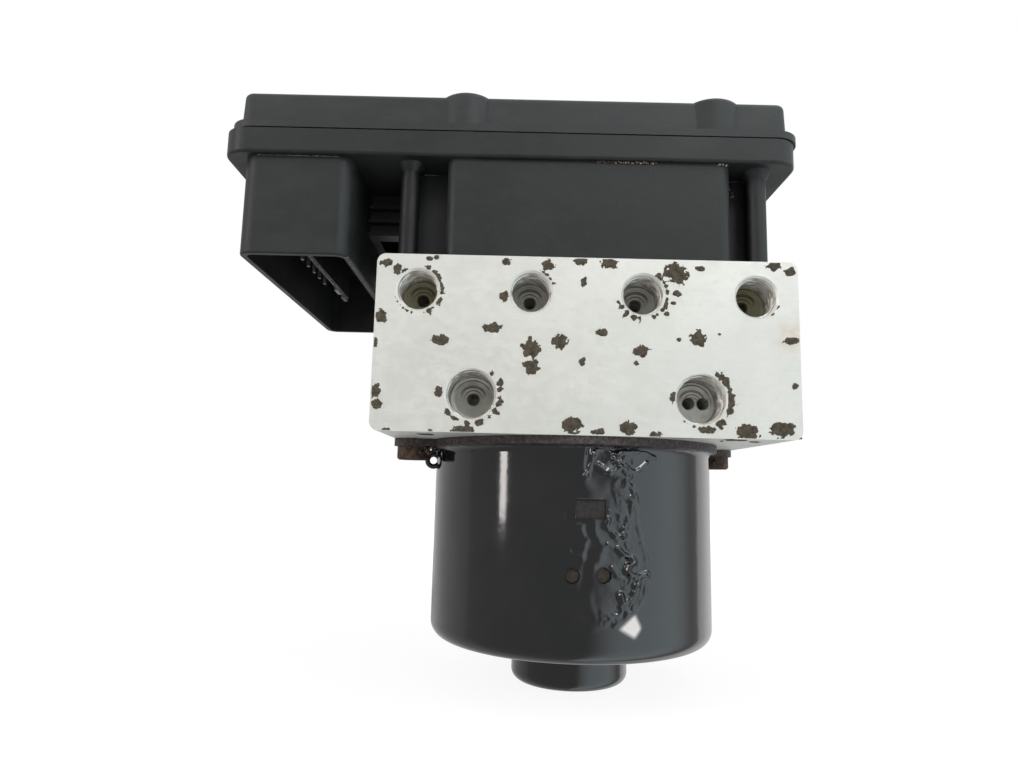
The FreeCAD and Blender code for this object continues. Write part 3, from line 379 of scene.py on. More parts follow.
bare = blend(scratches * 0.4, bare, tone(236, 237, 233))
# Painted light: the walls inside the ports are coloured paler than the face, to brighten their shaded
# insides.
bare = blend(inside * in_ports, bare, tone(236, 236, 230))
bare = blend(grime * 0.25, bare, tone(120, 112, 78))
fluid_left = near(milled, -41.7, block_front + 9, 13.0, 13.0)
fluid_right = near(milled, 41.7, block_front + 9, 13.0, 13.0)
fluid = fluid_left.top(fluid_right)
bare = blend(ramp(fluid, 0.1, 0.5) * inside * 0.65, bare, tone(172, 167, 112))
tap_marks = ramp(axis(milled, "Y"), block_front + 1.2, block_front + 1.8)
tap_marks = tap_marks * ramp(axis(milled, "Y"), block_front + 7.5, block_front + 9.5, 1.0, 0.0)
thread_brown = tap_marks * in_ports * ramp(cloud(milled, (3.0, 1.2, 3.0), 4.0, 0.6, seed=13.0), 0.40, 0.55)
bare = blend(thread_brown * 0.65, bare, tone(92, 72, 56))
bare = blend(seat_stain_and_shade * 0.75, bare, tone(74, 56, 42))
bare = blend(rust_bleed * 0.32, bare, tone(208, 168, 130))
milled_roughness = 0.34 + dull * 0.16 + milling * 0.12 + grime * 0.2
milled_metal = 0.35 - rust_bleed * 0.2 - inside * in_ports * 0.2
milled_relief = milling * 0.5 + scratches * -0.8 + specks * -1.0 + seat_cone * seat_slope
aluminium = dress(milled, bare, milled_roughness, milled_metal, milled_relief, milled_depth)
wear(aluminium, "valve_block", "accumulator_piston_left", "accumulator_piston_right")


# Corrosion. Crusts of oxide with pits in them, each with a ragged edge, where salt has lifted the metal.
# They stand a few tenths of a millimetre proud of the milled faces.
corrosion_spots = [
    (-49.8, 19.6, 3.2, 1.8), (-46.9, 18.1, 1.9, 3.2), (-39.0, 20.9, 1.8, 1.1), (-37.4, 21.2, 1.3, 1.1),
    (-20.0, 20.6, 2.5, 1.6), (-9.6, 19.9, 3.2, 2.7), (-1.7, 20.9, 3.2, 1.9), (5.5, 20.7, 4.2, 2.7),
    (21.9, 18.6, 5.6, 5.2), (27.8, 19.9, 2.5, 1.1), (22.2, 13.4, 2.2, 1.6), (21.3, 11.0, 1.3, 0.8),
    (19.6, 8.2, 1.5, 1.1), (46.2, 21.0, 3.6, 2.5), (50.1, 19.6, 2.8, 2.1), (-36.8, 15.7, 1.8, 1.7),
    (-45.0, 17.5, 2.0, 1.2), (-20.4, 11.8, 2.5, 2.5), (17.5, 17.8, 1.7, 1.5), (-50.6, 6.0, 3.1, 3.2),
    (-51.5, -0.6, 1.3, 2.2), (-35.7, 0.5, 4.0, 2.4), (-23.1, 3.8, 4.2, 2.4), (-13.5, -1.1, 4.4, 4.3),
    (-13.4, -5.5, 3.9, 3.8), (-6.4, 0.7, 3.7, 3.4), (3.7, 3.3, 3.2, 2.1), (13.3, -1.2, 3.7, 2.6),
    (12.0, -4.3, 1.4, 1.2), (22.5, 1.8, 1.4, 1.0), (27.2, 2.4, 3.6, 3.9), (32.5, 3.4, 0.9, 0.7),
    (50.0, 2.1, 4.1, 1.6), (50.5, -9.1, 1.6, 1.7), (-50.9, -12.3, 2.3, 3.1), (-50.3, -15.6, 2.5, 2.4),
    (-35.5, -12.4, 1.8, 2.8), (-20.8, -9.7, 1.7, 1.9), (-20.5, -14.2, 1.5, 1.2), (-29.5, -21.4, 5.1, 2.0),
    (-37.3, -21.7, 1.2, 0.9), (-47.8, -21.8, 1.7, 1.2), (-3.5, -19.6, 5.3, 3.5), (3.0, -21.1, 3.6, 1.4),
    (10.2, -20.0, 3.6, 3.2), (16.6, -22.0, 3.6, 2.3), (33.7, -8.3, 1.9, 2.4), (34.6, -13.5, 1.6, 3.6),
    (21.1, -12.4, 1.9, 1.6), (29.1, -20.0, 4.2, 1.6), (38.6, -20.3, 5.2, 3.7), (47.0, -19.5, 5.9, 3.4),
    (-1.1, -4.1, 1.7, 1.9), (-0.8, 15.7, 1.5, 2.5)]
eaten_rims = [
    (-41.7, 13.0, 5.0, -75, 78, 1.5), (-41.7, 13.0, 5.0, -160, -100, 0.9), (-13.8, 13.0, 5.0, 20, 75, 0.9),
    (13.8, 13.0, 5.0, -70, 55, 1.4), (13.8, 13.0, 5.0, -165, -95, 2.0), (41.7, 13.0, 5.0, -60, -20, 0.5),
    (-27.8, -12.7, 6.0, -60, 50, 1.6), (-27.8, -12.7, 6.0, -150, -62, 1.5), (27.8, -12.7, 6.0, -75, 62, 2.0),
    (27.8, -12.7, 6.0, 165, 200, 1.2), (27.8, -12.7, 6.0, -130, -76, 0.9)]
crust_step = 0.22
crust_height = 0.34
crust_skirt = 0.25
crust_foot = 0.08
crust_growth = 1.08


def crust_level(x, z, spots, rims, holes, half_width, half_height):
    """How far a point lies inside the nearest crust: above 0 is crust, up to about 1 in its middle."""
    for hole_x, hole_z, hole_radius in holes:
        if (x - hole_x) ** 2 + (z - hole_z) ** 2 < hole_radius ** 2:
            return -1.0
    if abs(x) > half_width or abs(z) > half_height:
        return -1.0
    best = -1.0
    for spot_x, spot_z, width, height in spots:
        if abs(x - spot_x) > width * 1.3 or abs(z - spot_z) > height * 1.3:
            continue
        across = (x - spot_x) / (width / 2 * crust_growth)
        along = (z - spot_z) / (height / 2 * crust_growth)
        best = max(best, 1.0 - math.hypot(across, along))
    for rim_x, rim_z, radius, first, last, width in rims:
        away = math.hypot(x - rim_x, z - rim_z) - radius - 0.6
        if away > width + 0.8:
            continue
        turn = math.degrees(math.atan2(z - rim_z, x - rim_x))
        turn += 360 if turn < first else 0
        if first < turn < last:
            patch = noise.noise((rim_x + turn * 0.11, rim_z, 5.0)) * 0.9
            best = max(best, 0.26 + patch - abs(away - width * 0.3) / width)
    if best < -0.8:
        return best
    ragged = noise.noise((x * 0.9, z * 0.9, 4.0)) * 0.48 + noise.noise((x * 2.1, z * 2.1, 9.0)) * 0.28
    return best + ragged + noise.noise((x * 5.0, z * 5.0, 3.0)) * 0.13


def crust(name, spots, rims, holes, half_width, half_height, place):
    """A sheet of crust for one face. place turns a position on the face and a height into a point."""
    columns = int(2 * half_width / crust_step)
    rows = int(2 * half_height / crust_step)
    mesh = bmesh.new()
    corners = {}

    def corner(i, j):
        if (i, j) not in corners:
            x, z = -half_width + i * crust_step, -half_height + j * crust_step
            level = crust_level(x, z, spots, rims, holes, half_width, half_height)
            grain = noise.noise((x * 3.1, z * 3.1, 2.0)) * 0.5 + noise.noise((x * 7.0, z * 7.0, 6.0)) * 0.3
            height = crust_height * min(1.0, max(level, 0.0) * 2.5) * (0.65 + grain)
            raised = height if level > 0 else -crust_foot
            corners[i, j] = (mesh.verts.new(place(x, z, raised)), level)
        return corners[i, j]

    for i in range(columns):
        for j in range(rows):
            x, z = -half_width + (i + 0.5) * crust_step, -half_height + (j + 0.5) * crust_step
            if crust_level(x, z, spots, rims, holes, half_width, half_height) > 0.0:
                around = [corner(i, j), corner(i + 1, j), corner(i + 1, j + 1), corner(i, j + 1)]
                mesh.faces.new([vertex for vertex, level in around])
    top = list(mesh.faces)
    under = bmesh.ops.extrude_face_region(mesh, geom=top)
    inward = (place(0, 0, -crust_skirt) - place(0, 0, 0))
    lifted = {item for item in under["geom"] if isinstance(item, bmesh.types.BMVert)}
    for vertex in mesh.verts:
        if vertex not in lifted:
            vertex.co += inward
    bmesh.ops.recalc_face_normals(mesh, faces=mesh.faces)
    data = bpy.data.meshes.new(name)
    mesh.to_mesh(data)
    mesh.free()
    made = bpy.data.objects.new(name, data)
    scene.collection.objects.link(made)
    return made


oxide = material("aluminium_oxide")
oxide_patch = cloud(oxide, 1.4, 5.0, 0.7)
oxide_grain = cloud(oxide, 0.35, 4.0, 0.7, seed=2.0)
oxide_colour = blend(ramp(oxide_patch, 0.35, 0.65), tone(58, 51, 41), tone(94, 86, 70))
oxide_colour = blend(ramp(oxide_grain, 0.60, 0.74), oxide_colour, tone(142, 136, 118))
oxide_colour = blend(ramp(oxide_grain, 0.30, 0.42, 1.0, 0.0) * 0.8, oxide_colour, tone(32, 27, 20))
oxide_skin = dress(oxide, oxide_colour, 0.82 + oxide_grain * 0.15, 0.0, oxide_grain, 0.12)

port_mouths = [(x, z, wheel_port_radius + 0.55) for x, z in wheel_ports]
port_mouths += [(x, z, master_port_radius + 0.4) for x, z in master_ports]
face_crust = crust("face_corrosion", corrosion_spots, eaten_rims, port_mouths,
                   block_end - 0.3, block_top - 0.2,
                   lambda x, z, height: Vector((x, block_front - height, z)) * mm)
face_crust.data.materials.append(oxide_skin)
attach(face_crust, "module")


def sparse_spots(count, half_width, half_height, seed):
    """Corrosion spots for a face, drawn towards its edges."""
    draw = random.Random(seed)
    spots = []
    for _ in range(count):
        along = draw.uniform(-1, 1)
        across = draw.uniform(-1, 1)
        if draw.random() < 0.6:
            across = math.copysign(draw.uniform(0.78, 0.98), across)
        width = draw.uniform(1.2, 4.6)
        height = draw.uniform(1.0, 3.6)
        spots.append((along * half_width, across * half_height, width, height))
    return spots


def hole_over(node, first, second, middle, spare=0.8):
    """The round place that a node takes up on a face, from two of its axes."""
    low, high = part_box(node)
    across = (low[first] + high[first]) / 2 / mm - middle[0]
    up = (low[second] + high[second]) / 2 / mm - middle[1]
    return across, up, (high[second] - low[second]) / 2 / mm + spare


middle_depth = block_front / 2
fixing_mouth = fixing_radius + 1.0
left_plug = hole_over("pump_plug_left", 1, 2, (middle_depth, 0))
right_plug = hole_over("pump_plug_right", 1, 2, (middle_depth, 0))
left_cap = hole_over("accumulator_cap_left", 0, 2, (0, 0))
right_cap = hole_over("accumulator_cap_right", 0, 2, (0, 0))
left_fixing = (-14 - middle_depth, -3, fixing_mouth)
right_fixing = (-17 - middle_depth, -3, fixing_mouth)
rear_fixing = (0, 0, fixing_mouth)
flange_place = (0, -46.0 - middle_depth, 48.5)
for label, spots, holes, half_width, half_height, place in (
        ("left_end_corrosion", sparse_spots(20, 43, 21, 3), [left_plug, left_fixing],
         43.6, 21.6, lambda u, v, rise: Vector((-block_end - rise, middle_depth + u, v)) * mm),
        ("right_end_corrosion", sparse_spots(22, 43, 21, 5), [right_plug, right_fixing],
         43.6, 21.6, lambda u, v, rise: Vector((block_end + rise, middle_depth + u, v)) * mm),
        ("rear_corrosion", sparse_spots(24, 51, 21, 8), [left_cap, right_cap, rear_fixing],
         51.6, 21.6, lambda u, v, rise: Vector((u, rise, v)) * mm),
        ("underside_corrosion", sparse_spots(40, 51, 43, 11), [flange_place],
         51.6, 43.6, lambda u, v, rise: Vector((u, middle_depth + v, -block_top - rise)) * mm)):
    sheet = crust(label, spots, [], holes, half_width, half_height, place)
    sheet.data.materials.append(oxide_skin)
    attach(sheet, "module")


# Port threads. The pipe ports and the fixing holes are tapped: each has a run of ridges, cut by a tap, inside
# its wall. The ridges of one size are made as one spiral and set at every hole of that size.
def new_tree(name, inputs):
    """A geometry tree with a geometry input and named sizes."""
    tree = bpy.data.node_groups.new(name, "GeometryNodeTree")
    tree.interface.new_socket("Geometry", in_out="INPUT", socket_type="NodeSocketGeometry")
    for label, kind, value in inputs:
        socket = tree.interface.new_socket(label, in_out="INPUT", socket_type="NodeSocket" + kind)
        socket.default_value = value
    tree.interface.new_socket("Geometry", in_out="OUTPUT", socket_type="NodeSocketGeometry")
    return tree


def grow(name, points, tree, values, material_made, body):
    """Runs a geometry tree on a set of points and keeps the result as a plain mesh that rides on a body."""
    seed_mesh = bpy.data.meshes.new(name + "_points")
    seed_mesh.from_pydata([tuple(c * mm for c in point) for point in points], [], [])
    holder = bpy.data.objects.new(name + "_holder", seed_mesh)
    scene.collection.objects.link(holder)
    modifier = holder.modifiers.new("grow", "NODES")
    modifier.node_group = tree
    for item in tree.interface.items_tree:
        if item.item_type == "SOCKET" and item.in_out == "INPUT" and item.name in values:
            modifier[item.identifier] = values[item.name]
    bpy.context.view_layer.update()
    evaluated = holder.evaluated_get(bpy.context.evaluated_depsgraph_get())
    data = bpy.data.meshes.new_from_object(evaluated)
    data.name = name
    holder.modifiers.clear()
    bpy.data.objects.remove(holder)
    data.materials.clear()
    data.materials.append(material_made)
    made = bpy.data.objects.new(name, data)
    scene.collection.objects.link(made)
    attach(made, body)
    return made


thread_sizes = [("Radius", "Float", 5 * mm), ("Pitch", "Float", mm), ("Turns", "Float", 8.0),
                ("Ridge", "Float", 0.3 * mm), ("Lean", "Vector", (0, 0, 0)), ("Finish", "Material", None)]
thread_tree = new_tree("tapped_ridges", thread_sizes)


def thread_nodes(tree):
    """A spiral with a small round section, set on each point and turned to the hole's direction."""
    nodes, links = tree.nodes, tree.links
    given = nodes.new("NodeGroupInput")
    spiral = nodes.new("GeometryNodeCurveSpiral")
    spiral.inputs["Resolution"].default_value = 30
    section = nodes.new("GeometryNodeCurvePrimitiveCircle")
    section.inputs["Resolution"].default_value = 5
    sweep_along = nodes.new("GeometryNodeCurveToMesh")
    sweep_along.inputs["Fill Caps"].default_value = True
    height = nodes.new("ShaderNodeMath")
    height.operation = "MULTIPLY"
    instances = nodes.new("GeometryNodeInstanceOnPoints")
    solid = nodes.new("GeometryNodeRealizeInstances")
    coat = nodes.new("GeometryNodeSetMaterial")
    out = nodes.new("NodeGroupOutput")
    links.new(given.outputs["Turns"], spiral.inputs["Rotations"])
    links.new(given.outputs["Radius"], spiral.inputs["Start Radius"])
    links.new(given.outputs["Radius"], spiral.inputs["End Radius"])
    links.new(given.outputs["Turns"], height.inputs[0])
    links.new(given.outputs["Pitch"], height.inputs[1])
    links.new(height.outputs[0], spiral.inputs["Height"])
    links.new(given.outputs["Ridge"], section.inputs["Radius"])
    links.new(spiral.outputs["Curve"], sweep_along.inputs["Curve"])
    links.new(section.outputs["Curve"], sweep_along.inputs["Profile Curve"])
    links.new(given.outputs["Geometry"], instances.inputs["Points"])
    links.new(sweep_along.outputs["Mesh"], instances.inputs["Instance"])
    links.new(given.outputs["Lean"], instances.inputs["Rotation"])
    links.new(instances.outputs["Instances"], solid.inputs["Geometry"])
    links.new(solid.outputs["Geometry"], coat.inputs["Geometry"])
    links.new(given.outputs["Finish"], coat.inputs["Material"])
    links.new(coat.outputs["Geometry"], out.inputs["Geometry"])


thread_nodes(thread_tree)
tapped = material("tapped_aluminium")
tap_film = ramp(cloud(tapped, (2.5, 1.0, 2.5), 4.0, 0.6), 0.42, 0.60)
tap_grain = cloud(tapped, 0.4, 3.0)
tapped_colour = blend(tap_film * 0.6, tone(206, 205, 199), tone(110, 92, 76))
tapped_metal = dress(tapped, tapped_colour, 0.28 + tap_film * 0.25, 0.7 - tap_film * 0.4, tap_grain, 0.02)
thread_inset = 0.12
thread_start = 1.3
thread_ridge = 0.34
pipe_pitch = 1.0
fixing_pitch = 1.25
wheel_sites = [(x, block_front + thread_start, z) for x, z in wheel_ports]
master_sites = [(x, block_front + thread_start, z) for x, z in master_ports]
rear_site = (0, -thread_start, 0)
left_site = (-block_end + thread_start, -14, -3)
right_site = (block_end - thread_start, -17, -3)
for label, sites, radius, pitch, turns, lean in (
        ("wheel_port_threads", wheel_sites, wheel_port_radius, pipe_pitch, 7.5, (-quarter, 0, 0)),
        ("master_port_threads", master_sites, master_port_radius, pipe_pitch, 7.0, (-quarter, 0, 0)),
        ("rear_fixing_threads", [rear_site], fixing_radius, fixing_pitch, 7.5, (quarter, 0, 0)),
        ("left_fixing_threads", [left_site], fixing_radius, fixing_pitch, 7.5, (0, quarter, 0)),
        ("right_fixing_threads", [right_site], fixing_radius, fixing_pitch, 7.5, (0, -quarter, 0))):
    sizes = {"Radius": (radius - thread_inset) * mm, "Pitch": pitch * mm, "Turns": turns,
             "Ridge": thread_ridge * mm, "Lean": lean, "Finish": tapped_metal}
    grow(label, sites, thread_tree, sizes, tapped_metal, "module")


# Motor can. Deep-drawn steel in gloss black. The flange and its ears have lost their paint and are brown
# with rust, and road dust has settled on the left of the wall.
can_axis_y = -46.0
can_radius = 39.5
can_top = -24.0
can_bottom = -75.9
bare_dimples = [(-2.6, -55.0), (4.8, -54.8)]
motor_paint = material("gloss_black_paint")
dust = ramp(cloud(motor_paint, 18.0, 5.0, 0.6, seed=1.0), 0.40, 0.70)
orange_peel = cloud(motor_paint, 2.4, 2.0, 0.5, seed=4.0)
paint_chips = ramp(cloud(motor_paint, 0.8, 4.0, 0.6, seed=6.0), 0.705, 0.73)
rust_edge = cloud(motor_paint, 2.0, 5.0, 0.7, seed=8.0) * 3.0
flange_rust = ramp(axis(motor_paint, "Z") + rust_edge, can_top + 0.6, can_top + 1.7)
left_side = ramp(axis(motor_paint, "X"), -38.5, -29.0, 1.0, 0.0)
film = dust * (0.05 + left_side * 0.45)
rust_grain = cloud(motor_paint, 0.9, 5.0, 0.7, seed=12.0)
rust_colour = blend(ramp(rust_grain, 0.4, 0.62), tone(38, 33, 32), tone(78, 68, 66))
rust_colour = blend(ramp(rust_grain, 0.62, 0.74), rust_colour, tone(118, 108, 100))
left_dimple = near(motor_paint, bare_dimples[0][0], -85.4, bare_dimples[0][1], 2.5)
right_dimple = near(motor_paint, bare_dimples[1][0], -85.2, bare_dimples[1][1], 2.5)
marks = ramp(left_dimple.top(right_dimple), 0.08, 0.25)
pocket_x = ramp(abs(axis(motor_paint, "X") - 1.72), 3.6, 3.75, 1.0, 0.0)
pocket_z = ramp(abs(axis(motor_paint, "Z") + 39.35), 2.32, 2.45, 1.0, 0.0)
pocket = pocket_x * pocket_z * ramp(axis(motor_paint, "Y"), -80.0, -84.0)
# Painted reflection: a pale kite low on the can, right of the blister, is coloured near-white, a little
# metallic and rougher, for a window's reflection.
reflection_x = axis(motor_paint, "X")
reflection_z = axis(motor_paint, "Z")
painted_reflection = ramp(reflection_z - reflection_x * 0.87, -75.5, -73.9, 1.0, 0.0)
painted_reflection = painted_reflection * ramp(reflection_z + reflection_x * 2.06, -39.6, -36.6, 1.0, 0.0)
painted_reflection = painted_reflection * ramp(reflection_z - reflection_x * 1.38, -87.5, -85.4)
painted_reflection = painted_reflection * ramp(reflection_z + reflection_x * 0.58, -62.9, -61.3)
painted_reflection = painted_reflection * ramp(axis(motor_paint, "Y"), can_axis_y, can_axis_y - 10)
paint_colour = blend(film, tone(11, 13, 16), tone(86, 82, 77))
paint_colour = blend(paint_chips * 0.5, paint_colour, tone(110, 104, 96))
dimple_rust = blend(ramp(rust_grain, 0.42, 0.6), tone(56, 43, 31), tone(26, 22, 19))
pocket_rust = blend(ramp(rust_grain, 0.4, 0.6), tone(14, 12, 11), tone(40, 34, 29))
paint_colour = blend(marks, paint_colour, dimple_rust)
paint_colour = blend(pocket * 0.9, paint_colour, pocket_rust)
paint_colour = blend(flange_rust, paint_colour, rust_colour)
paint_colour = blend(painted_reflection, paint_colour, tone(208, 201, 197))
worn = flange_rust.top(pocket).top(marks)
paint_roughness = 0.08 + film * 0.5 + worn * 0.6 + paint_chips * 0.3
paint_roughness = paint_roughness + painted_reflection * 0.2
paint_metal = worn * 0.2 + painted_reflection * 0.3
paint_relief = orange_peel * 0.35 + worn * rust_grain * 2.5
black_paint = dress(motor_paint, paint_colour, paint_roughness, paint_metal, paint_relief, 0.06)
wear(black_paint, "motor_can")


# Blistered paint. At the front of the can the paint has softened and run into folds round the pocket and the
# two dimples, and it stands up to a millimetre proud. It is one sheet that follows the can's wall. A fold has
# its rise, half its width, and its line as arc and height.
paint_folds = [
    (0.55, 0.45, [(0.1, -24.6), (-0.3, -27.4), (-0.3, -29.3), (0.5, -31.4)]),
    (0.60, 0.40, [(1.5, -24.8), (1.8, -28.0), (1.1, -30.1), (0.5, -31.6)]),
    (0.55, 0.40, [(2.1, -26.6), (2.9, -25.3), (4.9, -25.2), (6.2, -26.1)]),
    (0.75, 0.60, [(3.3, -29.0), (4.6, -30.2), (6.2, -30.5), (7.6, -30.2), (8.8, -29.2), (10.2, -29.9),
                  (11.5, -31.3)]),
    (0.60, 0.45, [(6.8, -27.3), (8.7, -25.8), (10.8, -25.6), (13.4, -25.4), (16.3, -25.8), (18.2, -26.8)]),
    (0.55, 0.45, [(10.4, -28.7), (11.5, -29.9), (12.9, -30.4), (14.3, -29.5), (15.9, -28.0)]),
    (0.50, 0.60, [(10.4, -32.6), (11.9, -34.6), (12.2, -37.0), (11.6, -39.4), (11.2, -41.8), (10.1, -43.9),
                  (9.1, -45.4)]),
    (0.30, 0.50, [(12.7, -34.0), (13.2, -37.6), (13.1, -40.6), (13.7, -43.6), (14.3, -45.6)]),
    (0.30, 0.45, [(5.8, -39.9), (7.5, -40.2), (8.8, -40.9)]),
    (0.80, 0.55, [(5.8, -41.9), (5.2, -43.3), (6.2, -44.2), (7.1, -45.2), (8.5, -45.9), (9.6, -45.6)]),
    (0.45, 0.50, [(5.7, -47.5), (7.1, -48.0), (8.0, -48.3)]),
    (1.05, 0.62, [(8.2, -48.6), (9.5, -49.8), (11.2, -50.4), (12.1, -51.5), (11.0, -52.6), (10.5, -53.7),
                  (11.7, -54.7), (13.7, -55.2), (16.0, -54.6)]),
    (0.55, 0.80, [(-1.5, -43.5), (-0.3, -44.9), (0.1, -46.7), (-0.3, -48.4), (-0.4, -50.3)]),
    (0.90, 0.48, [(8.8, -59.1), (9.2, -60.7), (10.4, -61.3), (11.7, -59.9), (12.4, -57.9), (13.3, -56.2)]),
    (0.45, 0.50, [(13.9, -56.2), (13.4, -59.0), (12.5, -61.0), (12.0, -63.2), (10.4, -63.7)]),
    (0.35, 0.60, [(7.6, -66.3), (10.1, -65.0), (12.1, -63.8), (13.9, -62.0), (15.4, -59.1), (16.2, -55.6),
                  (15.8, -51.2), (14.6, -47.4)]),
    (0.25, 0.40, [(-9.1, -54.4), (-8.0, -53.6), (-6.7, -54.3), (-5.2, -54.0)]),
    (0.16, 0.60, [(-10.8, -62.0), (-11.6, -58.0), (-11.2, -54.0), (-9.3, -49.9), (-8.1, -46.9), (-5.4, -45.1),
                  (-3.2, -44.2)]),
    (0.20, 0.45, [(-6.4, -40.0), (-5.0, -40.7), (-5.4, -42.2)]),
    (0.20, 0.40, [(-6.7, -49.8), (-5.0, -48.7), (-3.4, -49.1)]),
    (0.45, 0.60, [(6.9, -53.2), (8.2, -54.9), (10.0, -55.8)]),
    (0.30, 0.90, [(2.2, -42.4), (2.6, -45.4), (4.4, -48.0), (3.6, -51.0), (2.4, -52.5)])]
lively_spine = [(8.0, -27.0), (12.0, -27.5), (11.5, -34.0), (11.5, -43.0), (12.5, -50.0), (12.5, -56.0),
                (12.0, -62.0), (8.0, -65.0)]
lively_reach = 5.0
crumple_sizes = ((0.42, 0.66), (1.0, 0.30))
blister_centre = (1.9, -54.9)
blister_radius = 14.4
bare_dimple_radius = 2.0
bare_pocket = (-1.95, 5.35, -41.75, -36.95)
fold_step = 0.22
fold_arc = (-18.0, 22.0)
fold_height = (-72.5, -24.05)
foot_radius = 4.1
hidden_depth = 0.12
sheet_inset = 0.4


def distance_to_line(point, line):
    """Shortest way from a point to a run of straight pieces."""
    best = 1e9
    for (ax, az), (bx, bz) in zip(line, line[1:]):
        dx, dz = bx - ax, bz - az
        along = max(0.0, min(1.0, ((point[0] - ax) * dx + (point[1] - az) * dz) / (dx * dx + dz * dz)))
        best = min(best, math.hypot(point[0] - ax - along * dx, point[1] - az - along * dz))
    return best


def blister(arc, z):
    """Height of the swollen paint over the can's wall, below 0 where there is none."""
    wander = Vector([noise.noise((arc * 0.22, z * 0.22, layer)) for layer in (1.5, 12.5)]) * 0.8
    x = arc + wander.x * 2.4
    y = z + wander.y * 2.4
    disc = 1.0 - math.hypot(x - blister_centre[0], y - blister_centre[1]) / blister_radius
    band_half = 8.6 if z < -30 else 8.6 + (z + 30) * 0.9
    band = max(0.0, min(1.0, (z + 56.0) / 6.0)) * max(0.0, 1.0 - abs(x - 4.2) / band_half)
    cover = max(disc, band * 0.8)
    if cover < -0.02:
        return -0.1
    strength = min(1.0, max(0.0, cover) * (1.5 if x < -2.0 else 2.6))
    strength = strength * strength * (3.0 - 2.0 * strength)
    x = arc + wander.x
    y = z + wander.y
    lively = max(0.0, 1.0 - distance_to_line((x, y), lively_spine) / lively_reach)
    swell = 0.20 + 0.34 * noise.noise((x * 0.16, y * 0.13, 8.0))
    swell += 0.20 * noise.noise((x * 0.34, y * 0.26, 5.0))
    crumple = 0.0
    for size, share in crumple_sizes:
        crumple += share * (1.0 - abs(noise.noise((x * size, y * size, 7.0 + size)) * 2.4))
    height = strength * max(0.02, swell + lively * (crumple * 0.70 - 0.05))
    for fold_rise, fold_half, line in paint_folds:
        gap = distance_to_line((arc + wander.x * 0.25, z + wander.y * 0.25), line)
        spread = fold_half * (1.25 + 0.5 * noise.noise((x * 0.5, y * 0.5, 9.0)))
        if gap < spread * 3:
            uneven = 0.8 + 0.5 * noise.noise((x * 0.6, y * 0.6, 3.0))
            height += fold_rise * math.exp(-(gap / spread) ** 2) * uneven
    return height - 0.06 * (1.0 - min(1.0, cover * 8.0))


def on_can(arc, z, height):
    """A point over the can's wall, from its arc round the front line, its height and its rise."""
    angle = arc / can_radius
    reach = can_radius + height
    foot = can_bottom + foot_radius
    if z < foot:
        bend = min(1.0, (foot - z) / foot_radius)
        reach -= foot_radius * (1 - math.sqrt(max(0.0, 1 - bend * bend)))
    return Vector((reach * math.sin(angle), can_axis_y - reach * math.cos(angle), z)) * mm


def open_place(arc, z):
    """True where the sheet has a hole: over the dimples and the pocket."""
    if any(math.hypot(arc - x, z - y) < bare_dimple_radius for x, y in bare_dimples):
        return True
    left, right, low, high = bare_pocket
    return left < arc < right and low < z < high


def blister_sheet():
    """The whole sheet, closed behind inside the can's wall."""
    mesh = bmesh.new()
    columns = int((fold_arc[1] - fold_arc[0]) / fold_step)
    rows = int((fold_height[1] - fold_height[0]) / fold_step)
    grid = {}
    for i in range(columns + 1):
        for j in range(rows + 1):
            arc = fold_arc[0] + i * fold_step
            z = fold_height[0] + j * fold_step
            height = blister(arc, z)
            point = on_can(arc, z, max(height, -hidden_depth))
            grid[i, j] = (mesh.verts.new(point), height, open_place(arc, z))
    for i in range(columns):
        for j in range(rows):
            around = [grid[i, j], grid[i + 1, j], grid[i + 1, j + 1], grid[i, j + 1]]
            swollen = any(height > 0.0 for vertex, height, hole in around)
            if swollen and not all(hole for vertex, height, hole in around):
                mesh.faces.new([vertex for vertex, height, hole in around])
    bmesh.ops.delete(mesh, geom=[v for v in mesh.verts if not v.link_faces], context="VERTS")
    top = list(mesh.faces)
    under = bmesh.ops.extrude_face_region(mesh, geom=top)
    lifted = {item for item in under["geom"] if isinstance(item, bmesh.types.BMVert)}
    for vertex in mesh.verts:
        if vertex not in lifted:
            flat = Vector((vertex.co.x, vertex.co.y - can_axis_y * mm))
            flat *= (can_radius - sheet_inset) * mm / flat.length
            vertex.co.x = flat.x
            vertex.co.y = flat.y + can_axis_y * mm
    bmesh.ops.recalc_face_normals(mesh, faces=mesh.faces)
    for face in mesh.faces:
        face.smooth = True
    for edge in mesh.edges:
        edge.smooth = not (lifted.issuperset(edge.verts)
                           and any(not lifted.issuperset(face.verts) for face in edge.link_faces))
    data = bpy.data.meshes.new("blistered_paint")
    mesh.to_mesh(data)
    mesh.free()
    made = bpy.data.objects.new("blistered_paint", data)
    scene.collection.objects.link(made)
    return made


blistered = blister_sheet()
blistered.data.materials.append(black_paint)
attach(blistered, "module")


# Motor screws. Two socket-head steel screws hold the ears to the block, with their plating gone.
rusty = material("rusted_steel")
rust_patch = cloud(rusty, 1.6, 6.0, 0.7)
rust_flakes = cloud(rusty, 0.5, 4.0, 0.7, seed=3.0)
rusty_colour = blend(ramp(rust_patch, 0.38, 0.62), tone(46, 38, 34), tone(92, 70, 56))
rusty_colour = blend(ramp(rust_flakes, 0.60, 0.72) * 0.6, rusty_colour, tone(138, 118, 100))
rusty_relief = rust_patch * 1.5 + rust_flakes
rusty_steel = dress(rusty, rusty_colour, 0.65 + rust_flakes * 0.3, 0.5 - rust_patch * 0.5, rusty_relief, 0.25)
wear(rusty_steel, "motor_screws")


# Steel inside. Valve cartridges, pump, bearings and shaft are turned or ground steel, with fine marks round
# and along them and a film of brake fluid or grease.
def steel(name, colour, roughness, mark_size):
    """A ground or turned steel with a shade, a roughness and marks of a size."""
    finish = material(name)
    marks_seen = cloud(finish, mark_size, 3.0)
    patches = cloud(finish, 5.0, 4.0, seed=2.0)
    shade = blend(ramp(patches, 0.35, 0.7), tone(*colour), tone(*[c * 0.86 for c in colour]))
    return dress(finish, shade, roughness + marks_seen * 0.12, 0.95, marks_seen, 0.01)


